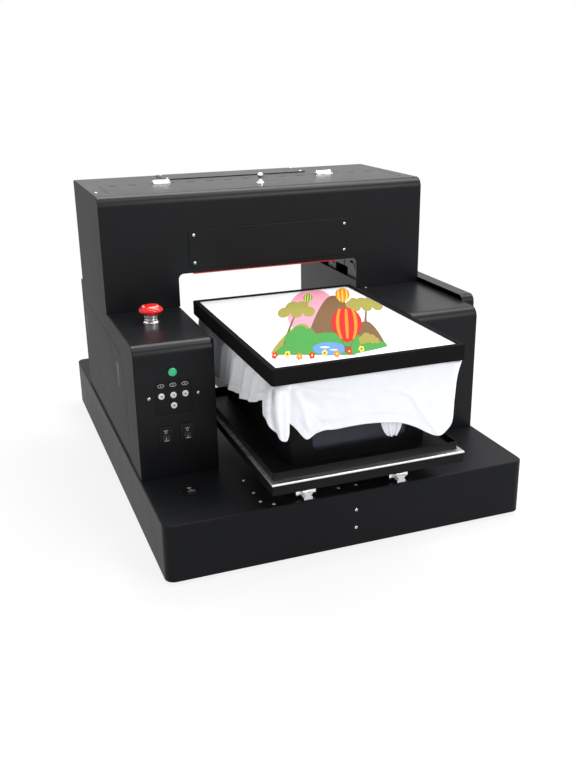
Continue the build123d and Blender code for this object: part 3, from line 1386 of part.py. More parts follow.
def nodes():
    """Every piece by name."""
    parts = {
        "base_housing": base_housing(),
        "base_pan": base_pan(),
        "rubber_feet": rubber_feet(),
        "guide_rails": guide_rails(),
        "left_tower_cover": left_tower_cover(),
        "right_tower_cover": mirrored(tower_cover()),
        "left_side_panel": left_side_panel(),
        "right_side_panel": mirrored(side_panel()),
        "inner_walls": inner_walls(),
        "hood_cover": hood_cover(),
        "hood_side_plates": hood_side_plates(),
        "front_cover_plate": front_cover_plate(),
        "rear_top_panel": rear_top_panel(),
        "panel_screws": panel_screws(),
        "side_cabinet": side_cabinet(),
        "control_panel": control_panel(),
        "switch_bezels": switch_bezels(),
        "estop_collar": estop_collar(),
        "lid_hinges": lid_hinges(),
        "engine_frame": engine_frame(),
        "carriage_guide_rod": carriage_guide_rod(),
        "drive_motors": drive_motors(),
        "drive_belts": drive_belts(),
        "capping_station": capping_station(),
        "electronics": electronics(),
        "ink_tanks": ink_tanks(),
        "power_inlet": power_inlet(),
        "left_door": left_door(),
        "top_lid": top_lid(),
        "lid_knob": lid_knob(),
        "lid_hinge_leaves": lid_hinge_leaves(),
        "bearing_blocks": bearing_blocks(),
        "carriage_plate": carriage_plate(),
        "bed_skirt": bed_skirt(),
        "bed_plate": bed_plate(),
        "platen_tray": platen_tray(),
        "pedestal": pedestal(),
        "pedestal_window": pedestal_window(),
        "lift_screw": lift_screw(),
        "platen_column": platen_column(),
        "platen_plate": platen_plate(),
        "tshirt": tshirt(),
        "clamp_frame": clamp_frame(),
        "print_carriage": print_carriage(),
        "print_head": print_head(),
        "bed_drive_pulley": bed_drive_pulley(),
        "bed_idler_pulley": bed_idler_pulley(),
        "head_drive_pulley": head_drive_pulley(),
        "head_idler_pulley": head_idler_pulley(),
        "estop_head": estop_head(),
        "power_button": power_button(),
        "base_rocker": base_switch_place() * rocker(),
    }
    for index, y in enumerate(latch_places()):
        parts["door_latch_%d" % (index + 1)] = latch(y)
    for index in range(len(panel_button_places())):
        parts["panel_button_%d" % (index + 1)] = panel_button(index)
    for index, place in enumerate(tower_switch_places()):
        parts["tower_rocker_%d" % (index + 1)] = place * rocker()
    return parts


os.makedirs("parts", exist_ok=True)
for name, body in nodes().items():
    export_step(body, "parts/" + name + ".step")
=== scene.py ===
"""Dresses the flat-bed garment printer: materials, garment, print, controls, camera and lamps."""
import math
import random

import bpy
import numpy as np
from mathutils import Matrix, Vector, noise


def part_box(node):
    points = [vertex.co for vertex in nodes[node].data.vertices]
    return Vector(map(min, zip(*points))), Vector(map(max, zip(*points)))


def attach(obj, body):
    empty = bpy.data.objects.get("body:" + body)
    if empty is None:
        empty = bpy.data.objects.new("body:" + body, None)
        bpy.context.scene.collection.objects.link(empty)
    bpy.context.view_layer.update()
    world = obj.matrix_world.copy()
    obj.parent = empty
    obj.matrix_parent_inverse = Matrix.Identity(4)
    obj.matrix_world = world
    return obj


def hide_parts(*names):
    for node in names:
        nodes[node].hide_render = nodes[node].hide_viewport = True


random.seed(7)
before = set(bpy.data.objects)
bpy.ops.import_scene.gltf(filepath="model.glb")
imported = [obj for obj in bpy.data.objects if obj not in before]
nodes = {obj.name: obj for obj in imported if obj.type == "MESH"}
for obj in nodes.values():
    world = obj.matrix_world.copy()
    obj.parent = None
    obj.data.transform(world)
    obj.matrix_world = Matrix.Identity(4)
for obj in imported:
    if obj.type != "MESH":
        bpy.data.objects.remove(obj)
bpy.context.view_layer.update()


def middle(node):
    """The middle of a node's box."""
    low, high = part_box(node)
    return (low + high) / 2


# Places in the shared frame, in metres
TOWER_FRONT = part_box("left_tower_cover")[0].y
TOWER_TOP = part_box("left_tower_cover")[1].z
BASE_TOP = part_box("base_housing")[1].z
HOOD_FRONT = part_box("hood_cover")[0].y
CLOTH_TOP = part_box("tshirt")[1].z
HOOP_LOW, HOOP_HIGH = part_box("clamp_frame")
HOOP_MIDDLE = middle("clamp_frame")

# The garment hangs this far inside the hoop's outer faces, round its corners, in metres
CLOTH_INSET = 0.0062
CORNER = 0.012
HOOP_HALF_X = (HOOP_HIGH.x - HOOP_LOW.x) / 2
HOOP_HALF_Y = (HOOP_HIGH.y - HOOP_LOW.y) / 2
HALF_X = HOOP_HALF_X - CLOTH_INSET
HALF_Y = HOOP_HALF_Y - CLOTH_INSET


def new_object(name, data):
    made = bpy.data.objects.new(name, data)
    bpy.context.scene.collection.objects.link(made)
    return made


def make_camera():
    """The camera at the photograph's viewing angle: its turns in radians, its place in metres."""
    yaw, pitch, roll = 0.3565, 0.3459, 0.0149
    place = (-0.5573, -1.6258, 0.7635)
    flat = Vector((math.sin(yaw), math.cos(yaw), 0))
    side = Vector((math.cos(yaw), -math.sin(yaw), 0))
    up = Vector((0, 0, 1))
    forward = flat * math.cos(pitch) - up * math.sin(pitch)
    above = up * math.cos(pitch) + flat * math.sin(pitch)
    right = side * math.cos(roll) - above * math.sin(roll)
    above = right.cross(forward)
    data = bpy.data.cameras.new("camera")
    camera = new_object("camera", data)
    camera.matrix_world = Matrix((*zip(right, above, -forward, place), (0, 0, 0, 1)))
    data.lens = 41.88
    data.sensor_width = 36
    data.clip_start = 0.05
    data.clip_end = 60
    bpy.context.scene.camera = camera


class Nodes:
    """A short way to write a node tree."""

    def __init__(self, tree):
        self.tree = tree

    def node(self, kind, inputs=None, **settings):
        """A new node with its settings and the values of its inputs."""
        made = self.tree.nodes.new(kind)
        for key, value in settings.items():
            setattr(made, key, value)
        for key, value in (inputs or {}).items():
            made.inputs[key].default_value = value
        return made

    def link(self, start, end):
        self.tree.links.new(start, end)

    def feed(self, socket, value):
        """Gives a socket a number, a colour or another node's output."""
        if isinstance(value, (int, float)):
            socket.default_value = value
        elif isinstance(value, tuple):
            socket.default_value = (*value, 1)
        else:
            self.link(value, socket)

    def math(self, operation, *values):
        """A sum of numbers and other nodes' outputs."""
        made = self.node("ShaderNodeMath", operation=operation)
        for socket, value in zip(made.inputs, values):
            self.feed(socket, value)
        return made.outputs[0]

    def sight(self):
        """1 for the camera, reflections and glass, and 0 for light that falls on things."""
        path = self.node("ShaderNodeLightPath").outputs
        seen = self.math("MAXIMUM", path["Is Camera Ray"], path["Is Glossy Ray"])
        return self.math("MAXIMUM", seen, path["Is Transmission Ray"])

    def show(self, output, factor, lit, seen):
        """Ends the tree in a mix of two surfaces."""
        mix = self.node("ShaderNodeMixShader")
        self.link(factor, mix.inputs["Fac"])
        self.link(lit, mix.inputs[1])
        self.link(seen, mix.inputs[2])
        self.link(mix.outputs["Shader"], output.inputs["Surface"])


class Shader(Nodes):
    """A material with a Principled surface."""

    def __init__(self, name):
        self.material = bpy.data.materials.new(name)
        self.material.use_nodes = True
        super().__init__(self.material.node_tree)
        self.shader = self.tree.nodes["Principled BSDF"]
        self.coords = self.node("ShaderNodeTexCoord").outputs["Object"]

    def put(self, name, value):
        """Sets one of the surface's inputs."""
        self.feed(self.shader.inputs[name], value)

    def noise(self, scale, detail=3.0, rough=0.55, stretch=None):
        """Noise over the object's own coordinates, or over them stretched."""
        where = self.coords
        if stretch:
            mapping = self.node("ShaderNodeMapping", {"Scale": stretch})
            self.link(where, mapping.inputs["Vector"])
            where = mapping.outputs["Vector"]
        inputs = {"Scale": scale, "Detail": detail, "Roughness": rough}
        made = self.node("ShaderNodeTexNoise", inputs)
        self.link(where, made.inputs["Vector"])
        return made.outputs["Fac"]

    def waves(self, direction, scale, distortion):
        """Rows of lines across one direction."""
        inputs = {"Scale": scale, "Distortion": distortion, "Detail": 1}
        made = self.node("ShaderNodeTexWave", inputs, bands_direction=direction)
        self.link(self.coords, made.inputs["Vector"])
        return made.outputs["Fac"]

    def ranged(self, value, low, high, start=0.3, end=0.7):
        """Turns the range from start to end into the one from low to high."""
        limits = {"From Min": start, "From Max": end, "To Min": low, "To Max": high}
        made = self.node("ShaderNodeMapRange", limits)
        self.link(value, made.inputs["Value"])
        return made.outputs["Result"]

    def blend(self, factor, first, second):
        """A colour between two colours."""
        made = self.node("ShaderNodeMix", data_type="RGBA")
        self.link(factor, made.inputs["Factor"])
        self.feed(made.inputs[6], first)
        self.feed(made.inputs[7], second)
        return made.outputs[2]

    def bump(self, height, strength, distance, normal=None):
        """Relief of a height in metres over the surface, or over another relief."""
        made = self.node("ShaderNodeBump", {"Strength": strength, "Distance": distance})
        self.link(height, made.inputs["Height"])
        if normal is not None:
            self.link(normal, made.inputs["Normal"])
        return made.outputs["Normal"]

    def soft_edges(self, radius):
        made = self.node("ShaderNodeBevel", {"Radius": radius}, samples=4)
        return made.outputs["Normal"]

    def seen_white(self, share):
        """Shows white to the camera, reflections and glass, over the lit surface."""
        glow = self.node("ShaderNodeEmission")
        factor = self.math("MULTIPLY", self.sight(), share)
        output = self.tree.nodes["Material Output"]
        self.show(output, factor, self.shader.outputs["BSDF"], glow.outputs["Emission"])

    def colour(self, value, first, second, start=0.3, end=0.7):
        """Colours the surface between two colours."""
        self.put("Base Color", self.blend(self.ranged(value, 0, 1, start, end), first, second))

    def roughness(self, value, low, high):
        self.put("Roughness", self.ranged(value, low, high))

    def finished(self, normal):
        """The material, with its relief."""
        self.put("Normal", normal)
        return self.material


def scaled(colour, share):
    """A colour made darker, or lighter with a share above 1."""
    return tuple(part * share for part in colour)


def powder_coat(name, colour, rough=0.33, grain=1400, depth=0.10, edge=0.0012, gloss=0.17):
    """Satin powder coat: fine orange peel, slow changes of gloss, soft edges."""
    s = Shader(name)
    s.put("Specular IOR Level", gloss)
    slow = s.noise(3.2, 2)
    patch = s.noise(26, 4)
    worn = s.math("ADD", s.math("MULTIPLY", slow, 0.6), s.math("MULTIPLY", patch, 0.4))
    s.colour(worn, scaled(colour, 0.85), scaled(colour, 1.18))
    s.roughness(worn, rough - 0.03, rough + 0.04)
    return s.finished(s.bump(s.noise(grain, 2), depth, 0.0002, s.soft_edges(edge)))


def moulded(name, colour, rough=0.4, grain=2200, depth=0.1, gloss=0.5):
    """Moulded plastic with a fine grain and slightly uneven gloss."""
    s = Shader(name)
    s.put("Specular IOR Level", gloss)
    slow = s.noise(40, 3)
    s.colour(slow, scaled(colour, 0.93), scaled(colour, 1.05))
    s.roughness(slow, rough - 0.04, rough + 0.05)
    return s.finished(s.bump(s.noise(grain, 2), depth, 0.0001, s.soft_edges(0.0004)))


def polished(name, colour, rough=0.1):
    """Chrome plate with faint wipe marks."""
    s = Shader(name)
    s.put("Metallic", 1.0)
    smear = s.noise(60, 4, stretch=(1, 4, 1))
    s.colour(smear, scaled(colour, 0.94), colour)
    s.roughness(smear, rough * 0.7, rough * 1.7)
    return s.finished(s.bump(smear, 0.03, 0.0002, s.soft_edges(0.0004)))


def brushed(name, colour, rough, stretch):
    """Metal with fine lines along one direction."""
    s = Shader(name)
    s.put("Metallic", 1.0)
    lines = s.noise(700, 2, 0.6, stretch)
    patch = s.noise(18, 3)
    s.colour(lines, scaled(colour, 0.86), colour)
    fine = s.ranged(lines, rough - 0.06, rough + 0.06)
    s.put("Roughness", s.math("ADD", fine, s.ranged(patch, -0.03, 0.03)))
    return s.finished(s.bump(lines, 0.1, 0.0001, s.soft_edges(0.0005)))


def rubber(name, colour):
    """Matt rubber with fine specks and a little dust."""
    s = Shader(name)
    s.put("Specular IOR Level", 0.3)
    speck = s.noise(900, 3)
    dust = s.noise(22, 4)
    s.colour(dust, colour, scaled(colour, 2.2), 0.45, 0.75)
    s.roughness(speck, 0.62, 0.8)
    return s.finished(s.bump(speck, 0.25, 0.0002))


def glass_pane(name):
    """The pedestal's blue-grey window, glossy with a soft cast of dust."""
    s = Shader(name)
    dust = s.noise(30, 4)
    s.colour(dust, (0.012, 0.016, 0.027), (0.018, 0.023, 0.037))
    s.put("Specular IOR Level", 0.32)
    s.roughness(dust, 0.1, 0.24)
    return s.finished(s.bump(s.noise(300, 2), 0.02, 0.0001))


def lens(name, colour):
    """The lamp button's lit green lens, ribbed inside."""
    s = Shader(name)
    cells = s.node("ShaderNodeTexVoronoi", {"Scale": 900})
    s.link(s.coords, cells.inputs["Vector"])
    ribs = cells.outputs["Distance"]
    s.colour(ribs, scaled(colour, 0.6), colour, 0.1, 0.6)
    s.put("Roughness", 0.18)
    s.put("Coat Weight", 0.5)
    s.put("Emission Color", colour)
    s.put("Emission Strength", 0.35)
    return s.finished(s.bump(ribs, 0.15, 0.0002))


# The hem's two sewn lines: their height above the edge and half their width, in millimetres
HEM_LINES = (14.0, 17.0)
STITCH_HALF = 0.5


def knit(name, colour, hem=False, sheen=0.12):
    """Cotton jersey: rows of fine stitches, soft creases and a light sheen; hem adds the sewing."""
    s = Shader(name)
    s.put("Sheen Weight", sheen)
    s.put("Sheen Roughness", 0.5)
    s.put("Specular IOR Level", 0.15)
    s.put("Roughness", 0.85)
    stitches = s.math("MULTIPLY", s.waves("X", 330, 0.6), s.waves("Y", 300, 0.8))
    cloud = s.noise(14, 4)
    tint = s.blend(s.ranged(cloud, 0, 1), scaled(colour, 0.965), colour)
    tint = s.blend(s.ranged(stitches, 0, 0.10, 0.0, 1.0), tint, scaled(colour, 0.8))
    creases = s.noise(34, 5, 0.6, (1, 1, 0.35))
    normal = s.bump(creases, 0.10, 0.004)
    if hem:
        above = s.node("ShaderNodeAttribute", attribute_name="hem_mm").outputs["Fac"]
        lines = [s.math("COMPARE", above, line, STITCH_HALF) for line in HEM_LINES]
        sewn = s.math("MAXIMUM", *lines)
        tint = s.blend(s.math("MULTIPLY", sewn, 0.22), tint, scaled(colour, 0.7))
        normal = s.bump(s.math("SUBTRACT", 1.0, sewn), 0.5, 0.0006, normal)
    s.put("Base Color", tint)
    return s.finished(s.bump(stitches, 0.18, 0.0003, normal))


def pale_floor():
    """Pale paint that turns into the white background some way from the object."""
    s = Shader("floor_paint")
    cloud = s.noise(1.6, 3)
    s.colour(cloud, (0.86, 0.86, 0.86), (0.88, 0.88, 0.88))
    s.roughness(cloud, 0.75, 0.9)
    far = s.node("ShaderNodeVectorMath", operation="LENGTH")
    s.link(s.coords, far.inputs[0])
    s.seen_white(s.ranged(far.outputs["Value"], low=0.85, high=1.0, start=0.9, end=2.2))
    return s.material


def link_mesh(name, verts, faces, body, material, smooth=False):
    """A new piece from its points and faces, riding on a body."""
    mesh = bpy.data.meshes.new(name)
    mesh.from_pydata([tuple(v) for v in verts], [], faces)
    mesh.update()
    made = new_object(name, mesh)
    for entry in material if isinstance(material, list) else [material]:
        mesh.materials.append(entry)
    if smooth:
        mesh.shade_smooth()
    if body:
        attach(made, body)
    return made


class Shapes:
    """Collects small forms in one mesh: plates, rings and turned pieces, each with a material."""

    def __init__(self):
        self.verts = []
        self.faces = []
        self.slots = []

    def point(self, origin, across, upward, u, v, lift):
        """A point u across and v upward from the origin, lifted off their plane."""
        out = across.cross(upward).normalized()
        self.verts.append(Vector(origin) + across * u + upward * v + out * lift)

    def caps(self, low, high, count):
        """The two end faces of a form, from the first points of its ends."""
        self.faces.append([low + i for i in reversed(range(count))])
        self.faces.append([high + i for i in range(count)])

    def band(self, start, count):
        """The faces between a row of points and the next row."""
        for i in range(count):
            j = (i + 1) % count
            self.faces.append([start + i, start + j, start + count + j, start + count + i])

    def add(self, origin, across, upward, outline, thick, slot=0):
        """A flat plate from its outline."""
        start = len(self.verts)
        count = len(outline)
        for lift in (0, thick):
            for u, v in outline:
                self.point(origin, across, upward, u, v, lift)
        self.caps(start, start + count, count)
        self.band(start, count)
        self.slots += [slot] * (count + 2)

    def ring(self, origin, across, upward, radii, width, thick):
        """A flat oval ring round its inner radii."""
        steps = 40
        first = len(self.verts)
        for i in range(steps):
            turn = math.radians(360 * i / steps)
            for grow, lift in ((0, 0), (width, 0), (width, thick), (0, thick)):
                u = (radii[0] + grow) * math.cos(turn)
                v = (radii[1] + grow) * math.sin(turn)
                self.point(origin, across, upward, u, v, lift)
        for i in range(steps):
            a = first + 4 * i
            b = first + 4 * ((i + 1) % steps)
            for k in range(4):
                self.faces.append([a + k, a + (k + 1) % 4, b + (k + 1) % 4, b + k])
        self.slots += [0] * (4 * steps)

    def turn(self, origin, axis, outline, steps=56):
        """A turned form about an axis, from radii and heights along it."""
        across = axis.orthogonal().normalized()
        upward = axis.cross(across)
        first = len(self.verts)
        for radius, height in outline:
            for i in range(steps):
                angle = 2 * math.pi * i / steps
                spoke = across * math.cos(angle) + upward * math.sin(angle)
                self.verts.append(Vector(origin) + axis * height + spoke * radius)
        levels = len(outline) - 1
        for level in range(levels):
            self.band(first + level * steps, steps)
        self.caps(first, first + levels * steps, steps)
        self.slots += [0] * (levels * steps + 2)

    def build(self, name, body, material, sharp=None):
        """The piece; with an angle, it is smooth where its faces turn less than that."""
        made = link_mesh(name, self.verts, self.faces, body, material, smooth=sharp is not None)
        if sharp is not None:
            made.data.set_sharp_from_angle(angle=math.radians(sharp))
        for face, slot in zip(made.data.polygons, self.slots):
            face.material_index = slot
        return made


def box_outline(width, height):
    u, v = width / 2, height / 2
    return [(-u, -v), (u, -v), (u, v), (-u, v)]


def disc_outline(radius, count=28, squash=1.0):
    turns = [2 * math.pi * i / count for i in range(count)]
    return [(radius * math.cos(t), radius * squash * math.sin(t)) for t in turns]


# The two directions in which a front face and a top face are drawn
FRONT = (Vector((1, 0, 0)), Vector((0, 0, 1)))
TOP = (Vector((1, 0, 0)), Vector((0, 1, 0)))


def materials():
    """Every material by name."""
    black = (0.0050, 0.0054, 0.0064)
    # A warmer, lighter copy of the black coat for the side panels and the door: painted warm
    # reflected light on the sides.
    painted_warm_light_black = (0.0072, 0.0066, 0.0062)
    return {
        "steel": powder_coat("black_powder_coat", black),
        "sides": powder_coat("side_powder_coat_painted_warm_light", painted_warm_light_black, 0.58, 1300, 0.14, gloss=0.16),
        "base": powder_coat("base_powder_coat", black, 0.46, gloss=0.11),
        "trim": powder_coat("black_trim_coat", (0.004, 0.004, 0.0045), 0.5, 1800, 0.07, gloss=0.12),
        "hoop": powder_coat("hoop_coat", (0.009, 0.009, 0.0094), 0.6, 1600, 0.1, 0.0007, 0.01),
        "grey": powder_coat("grey_bracket_coat", (0.34, 0.34, 0.35), 0.45, 1400, 0.08, 0.0006,
                            gloss=0.4),
        "motor": powder_coat("motor_coat", (0.03, 0.03, 0.032), 0.5),
        "plastic": moulded("black_moulded_plastic", (0.0065, 0.0065, 0.007), 0.45, gloss=0.16),
        "gloss": moulded("gloss_black_plastic", (0.005, 0.005, 0.0055), 0.25, 1500, 0.03, 0.2),
        "white": moulded("white_button_plastic", (0.78, 0.79, 0.79), 0.3, 1600, 0.03),
        "red": moulded("red_stop_plastic", (0.86, 0.012, 0.010), 0.24, 1200, 0.03),
        "red_strip": moulded("red_edge_strip", (0.45, 0.004, 0.014), 0.4, 900, 0.05),
        "tank": moulded("tank_plastic", (0.55, 0.57, 0.58), 0.35),
        "mark": moulded("mark_paint", (0.62, 0.63, 0.65), 0.5),
        # Dark signs and dark end screws; on the screw heads the same material is painted shade for
        # their cross recesses.
        "dark_mark_and_shade": moulded("dark_mark_paint", (0.05, 0.05, 0.055), 0.5),
        "green": lens("green_lens", (0.01, 0.36, 0.14)),
        "chrome": polished("chrome_plate", (0.86, 0.87, 0.89)),
        "screw": polished("zinc_screw", (0.72, 0.72, 0.70), 0.22),
        "rail": brushed("ground_steel", (0.62, 0.63, 0.65), 0.24, (1, 0.02, 1)),
        "rod": brushed("ground_rod", (0.62, 0.63, 0.65), 0.18, (0.02, 1, 1)),
        "plate": brushed("brushed_silver_plate", (0.80, 0.81, 0.83), 0.3, (0.02, 1, 1)),
        "head": brushed("head_steel", (0.42, 0.43, 0.45), 0.35, (1, 1, 0.03)),
        "supply": brushed("supply_case", (0.5, 0.51, 0.52), 0.4, (1, 0.04, 1)),
        "platen": powder_coat("platen_coat", (0.02, 0.02, 0.022), 0.6, 1200, 0.15),
        "rubber": rubber("black_rubber", (0.018, 0.018, 0.018)),
        "cap": rubber("cap_rubber", (0.05, 0.05, 0.055)),
        "window": glass_pane("window_pane"),
        "cotton": knit("cotton_jersey", (0.822, 0.84, 0.875), hem=True),
        # Painted shade: the grey strip on the cloth along the inside of the hoop's lip.
        "edge_shade": knit("grey_painted_edge_shade", (0.42, 0.43, 0.45)),
        # The tail is the same jersey, made darker: painted shade where it hangs under the front
        # layer.
        "tail": knit("cotton_jersey_tail_painted_shade", (0.78, 0.78, 0.83)),
    }


NODE_MATERIALS = {
    "steel": """left_tower_cover right_tower_cover inner_walls hood_cover front_cover_plate
        rear_top_panel side_cabinet top_lid""",
    # The side panels and the door take the copy of the coat with painted warm light.
    "sides": "left_side_panel right_side_panel hood_side_plates left_door",
    "base": "base_housing base_pan",
    "trim": "bed_skirt platen_tray pedestal platen_column",
    "hoop": "clamp_frame",
    "grey": "engine_frame",
    "motor": "drive_motors",
    "plastic": "control_panel door_latch_1 door_latch_2 print_carriage power_inlet",
    "gloss": "switch_bezels tower_rocker_1 tower_rocker_2 base_rocker",
    "white": "panel_button_1 panel_button_2 panel_button_3 panel_button_4",
    "red": "estop_head",
    "green": "power_button",
    "chrome": "estop_collar lid_hinges lid_hinge_leaves lid_knob bearing_blocks",
    "screw": "panel_screws",
    "rail": "guide_rails lift_screw",
    "rod": "carriage_guide_rod",
    "plate": """bed_plate carriage_plate bed_drive_pulley bed_idler_pulley head_drive_pulley
        head_idler_pulley""",
    "head": "print_head",
    "supply": "electronics",
    "platen": "platen_plate",
    "tank": "ink_tanks",
    "rubber": "rubber_feet drive_belts",
    "cap": "capping_station",
    "window": "pedestal_window",
    "cotton": "tshirt",
}


def dress_nodes(made):
    """Gives every node of the frame its material."""
    for key, names in NODE_MATERIALS.items():
        for name in names.split():
            node = nodes[name]
            node.data.materials.clear()
            node.data.materials.append(made[key])


# The hem round the garment: millimetres along it from the front left corner, leftwards negative,
# and how far it hangs below the hoop
HEM = (
    (-716, 80), (-690, 84), (-640, 72), (-590, 79), (-540, 90), (-490, 76), (-450, 86), (-425, 78),
    (-400, 80), (-360, 75), (-320, 84), (-283, 83), (-230, 79), (-185, 77), (-141, 71), (-110, 64),
    (-89, 58), (-66, 47), (-50, 42), (-36, 39), (-28, 40), (-20, 44), (-12, 50), (-5, 59), (1, 70),
    (6, 79), (10, 83), (14, 82), (16, 76), (18, 68), (20, 62), (22, 61), (26, 66), (32, 76),
    (39, 86), (45, 92), (50, 92), (56, 88), (63, 84), (75, 82), (90, 83), (120, 82), (150, 83),
    (180, 86), (205, 91), (230, 102), (250, 114), (266, 122), (276, 123), (286, 117), (296, 107),
    (303, 97), (310, 88), (330, 80), (370, 92), (410, 76), (450, 84), (500, 72), (545, 90),
    (590, 79), (630, 86), (680, 76), (716, 80),
)
# The sleeve gathered at the corner: place along the hem, and how far the cloth stands off there
# to the right and to the rear, in millimetres
SLEEVE = (
    (-58, 0, 0), (-45, 2, 0), (-32, -4, -1), (-22, -12, -3), (-12, -16, -9), (-4, -13, -14),
    (3, -10, -17), (10, -6, -16), (14.5, -3, -14), (17.5, -2, -9), (20, -6, -2), (23, -5, 3.5),
    (30, -1, 1.5), (42, 0, 0),
)
# Folds that the photograph shows: points along them as place and depth below the hoop, then the
# fold's half width and its height, all in millimetres; a valley has a height below zero
FOLDS = (
    (((-46, 3), (-43, 20), (-41, 44)), 4, -3.5),
    (((-92, 52), (-70, 38), (-48, 28)), 3, 2.2),
    (((-54, 3), (-60, 22), (-70, 44)), 3, 2.4),
    (((-64, 4), (-76, 30), (-88, 58)), 4, -3.6),
    (((-78, 4), (-92, 32), (-106, 60)), 5, 4.2),
    (((-98, 3), (-112, 36), (-130, 68)), 5, -4.0),
    (((-118, 3), (-134, 40), (-152, 74)), 7, 4.8),
    (((-146, 2), (-164, 40), (-182, 78)), 5, -4.4),
    (((-172, 3), (-190, 45), (-214, 80)), 8, 6.0),
    (((-212, 2), (-226, 40), (-240, 80)), 6, -4.5),
    (((-240, 3), (-256, 42), (-270, 84)), 8, 5.2),
    (((-5, 8), (-3, 24), (-1, 50), (4, 84)), 2.8, -8.5),
    (((-15, 24), (-13, 40), (-7, 66)), 2.4, -2.0),
    (((10, 16), (9, 40), (10, 80)), 2.6, -1.6),
    (((-24, 15), (-13, 19), (-5, 15)), 2.2, -1.8),
    (((-22, 27), (-12, 31), (-5, 27)), 2.2, -1.8),
    (((-19, 40), (-12, 43), (-5, 40)), 2.2, -1.4),
    (((28, 3), (52, 14), (84, 26), (110, 33)), 5, 2.4),
    (((30, 10), (50, 30), (66, 44)), 6, -2.0),
    (((30, 14), (40, 40), (48, 72)), 5, 2.2),
    (((34, 60), (43, 72), (49, 84)), 2.4, -1.3),
    (((62, 62), (72, 71), (86, 75)), 4, -1.0),
    (((66, 82), (84, 62), (111, 44), (140, 35), (172, 31), (200, 36), (220, 47), (237, 75),
      (255, 100), (269, 118)), 3.6, 1.7),
)
PERIMETER = 1000 * (4 * (HALF_X + HALF_Y) - (8 - 2 * math.pi) * CORNER)


def ring_point(place):
    """The point in metres and the outward direction at a place along the platen's rounded edge."""
    straight_x = 2 * (HALF_X - CORNER)
    straight_y = 2 * (HALF_Y - CORNER)
    arc = CORNER * math.pi / 2
    s = (place / 1000 - arc / 2) % (PERIMETER / 1000)
    sides = (
        (straight_x, Vector((CORNER - HALF_X, -HALF_Y)), Vector((1, 0))),
        (straight_y, Vector((HALF_X, CORNER - HALF_Y)), Vector((0, 1))),
        (straight_x, Vector((HALF_X - CORNER, HALF_Y)), Vector((-1, 0))),
        (straight_y, Vector((-HALF_X, HALF_Y - CORNER)), Vector((0, -1))),
    )
    for length, start, along in sides:
        out = Vector((along.y, -along.x))
        if s <= length:
            return start + along * s, out
        s -= length
        if s <= arc:
            turn = s / CORNER
            centre = start + along * length - out * CORNER
            out = out * math.cos(turn) + along * math.sin(turn)
            return centre + out * CORNER, out
        s -= arc
    return sides[0][1], Vector((0, -1))


def through(places, xs, ys):
    """A smooth curve through points, read at many places."""
    xs, ys = np.array(xs, float), np.array(ys, float)
    slopes = np.gradient(ys, xs)
    left = np.clip(np.searchsorted(xs, places) - 1, 0, len(xs) - 2)
    step = xs[left + 1] - xs[left]
    t = np.clip((places - xs[left]) / step, 0, 1)
    value = ys[left] * (1 + 2 * t) * (1 - t) ** 2 + ys[left + 1] * t * t * (3 - 2 * t)
    return value + step * (slopes[left] * t * (1 - t) ** 2 - slopes[left + 1] * t * t * (1 - t))


def stations():
    """Places round the garment, closer together in the gathered corner."""
    fine, coarse, closing_gap = 0.8, 1.7, 2.4
    places = [-PERIMETER / 2]
    while places[-1] < PERIMETER / 2 - closing_gap:
        places.append(places[-1] + (fine if -52 < places[-1] < 36 else coarse))
    return np.array(places)


def hidden_folds():
    """Seeded folds on the sides that the photograph doesn't show."""
    seen_start, seen_end = -285, 318
    folds = []
    place = -PERIMETER / 2 + 6
    while place < PERIMETER / 2:
        place += random.uniform(18, 34)
        lean = random.uniform(-16, 16)
        wide = random.uniform(5, 10)
        high = random.uniform(2.0, 4.6) * random.choice((1, 1, -0.7))
        start = random.uniform(2, 16)
        if place < seen_start or seen_end < place < PERIMETER / 2 - 20:
            points = ((place, start), (place + lean * 0.6, 45), (place + lean, 95))
            folds.append((points, wide, high))
    return folds


def fold_heights(places, depth):
    """How far the folds lift the cloth at each place and depth, in millimetres."""
    total = np.zeros_like(depth)
    for points, wide, high in list(FOLDS) + hidden_folds():
        points = np.array(points, float)
        nearest = np.full_like(depth, 1e9)
        for (ax, ay), (bx, by) in zip(points, points[1:]):
            run, fall = bx - ax, by - ay
            share = ((places - ax) * run + (depth - ay) * fall) / (run ** 2 + fall ** 2)
            share = np.clip(share, 0, 1)
            gap = (places - ax - share * run) ** 2 + (depth - ay - share * fall) ** 2
            nearest = np.minimum(nearest, gap)
        total += high * np.exp(-nearest / wide ** 2)
    return total * np.clip(depth / 12, 0, 1)


def hang(places, rows):
    """The hanging part: points in metres from the hoop down, and their height above the hem."""
    sleeve_depth, right_corner, corner_reach, hem_height = 42, 310, 24, 18.5
    base = [ring_point(place) for place in places]
    point = np.array([tuple(p) for p, out in base]) * 1000
    out = np.array([tuple(o) for p, o in base])
    drop = through(places, *zip(*HEM))
    shares = np.linspace(0, 1, rows)[:, None]
    depth = shares * drop
    across = np.broadcast_to(places, depth.shape)
    swell = np.sin(np.clip(depth / sleeve_depth, 0, 1) * math.pi / 2)
    ripple = np.zeros_like(depth)
    for r in range(rows):
        for i, (x, y) in enumerate(point):
            slow = noise.noise(Vector((x / 60, y / 60, r / rows * 1.5)))
            quick = noise.noise(Vector((x / 17, y / 17, r / rows * 4)))
            ripple[r, i] = 2.2 * slow * shares[r, 0] + 0.7 * quick * min(1, depth[r, i] / 15)
    near_corner = np.exp(-((across - right_corner) / corner_reach) ** 2)
    flare = 11 * near_corner * np.exp(-depth / 24) * np.clip(depth / 4, 0, 1)
    tuck = -3 * near_corner * shares
    hem_band = 0.35 * np.clip((depth - drop + hem_height) / 1.5, 0, 1)
    stand = fold_heights(across, depth) + ripple + flare + tuck + hem_band + 1.2 * shares
    along, *offsets = zip(*SLEEVE)
    shift = [through(places, along, offset) for offset in offsets]
    grid = np.zeros(depth.shape + (3,))
    for k in (0, 1):
        grid[..., k] = point[:, k] + out[:, k] * stand + shift[k] * swell
    grid[..., 2] = -depth - 0.3
    return grid / 1000, drop - depth


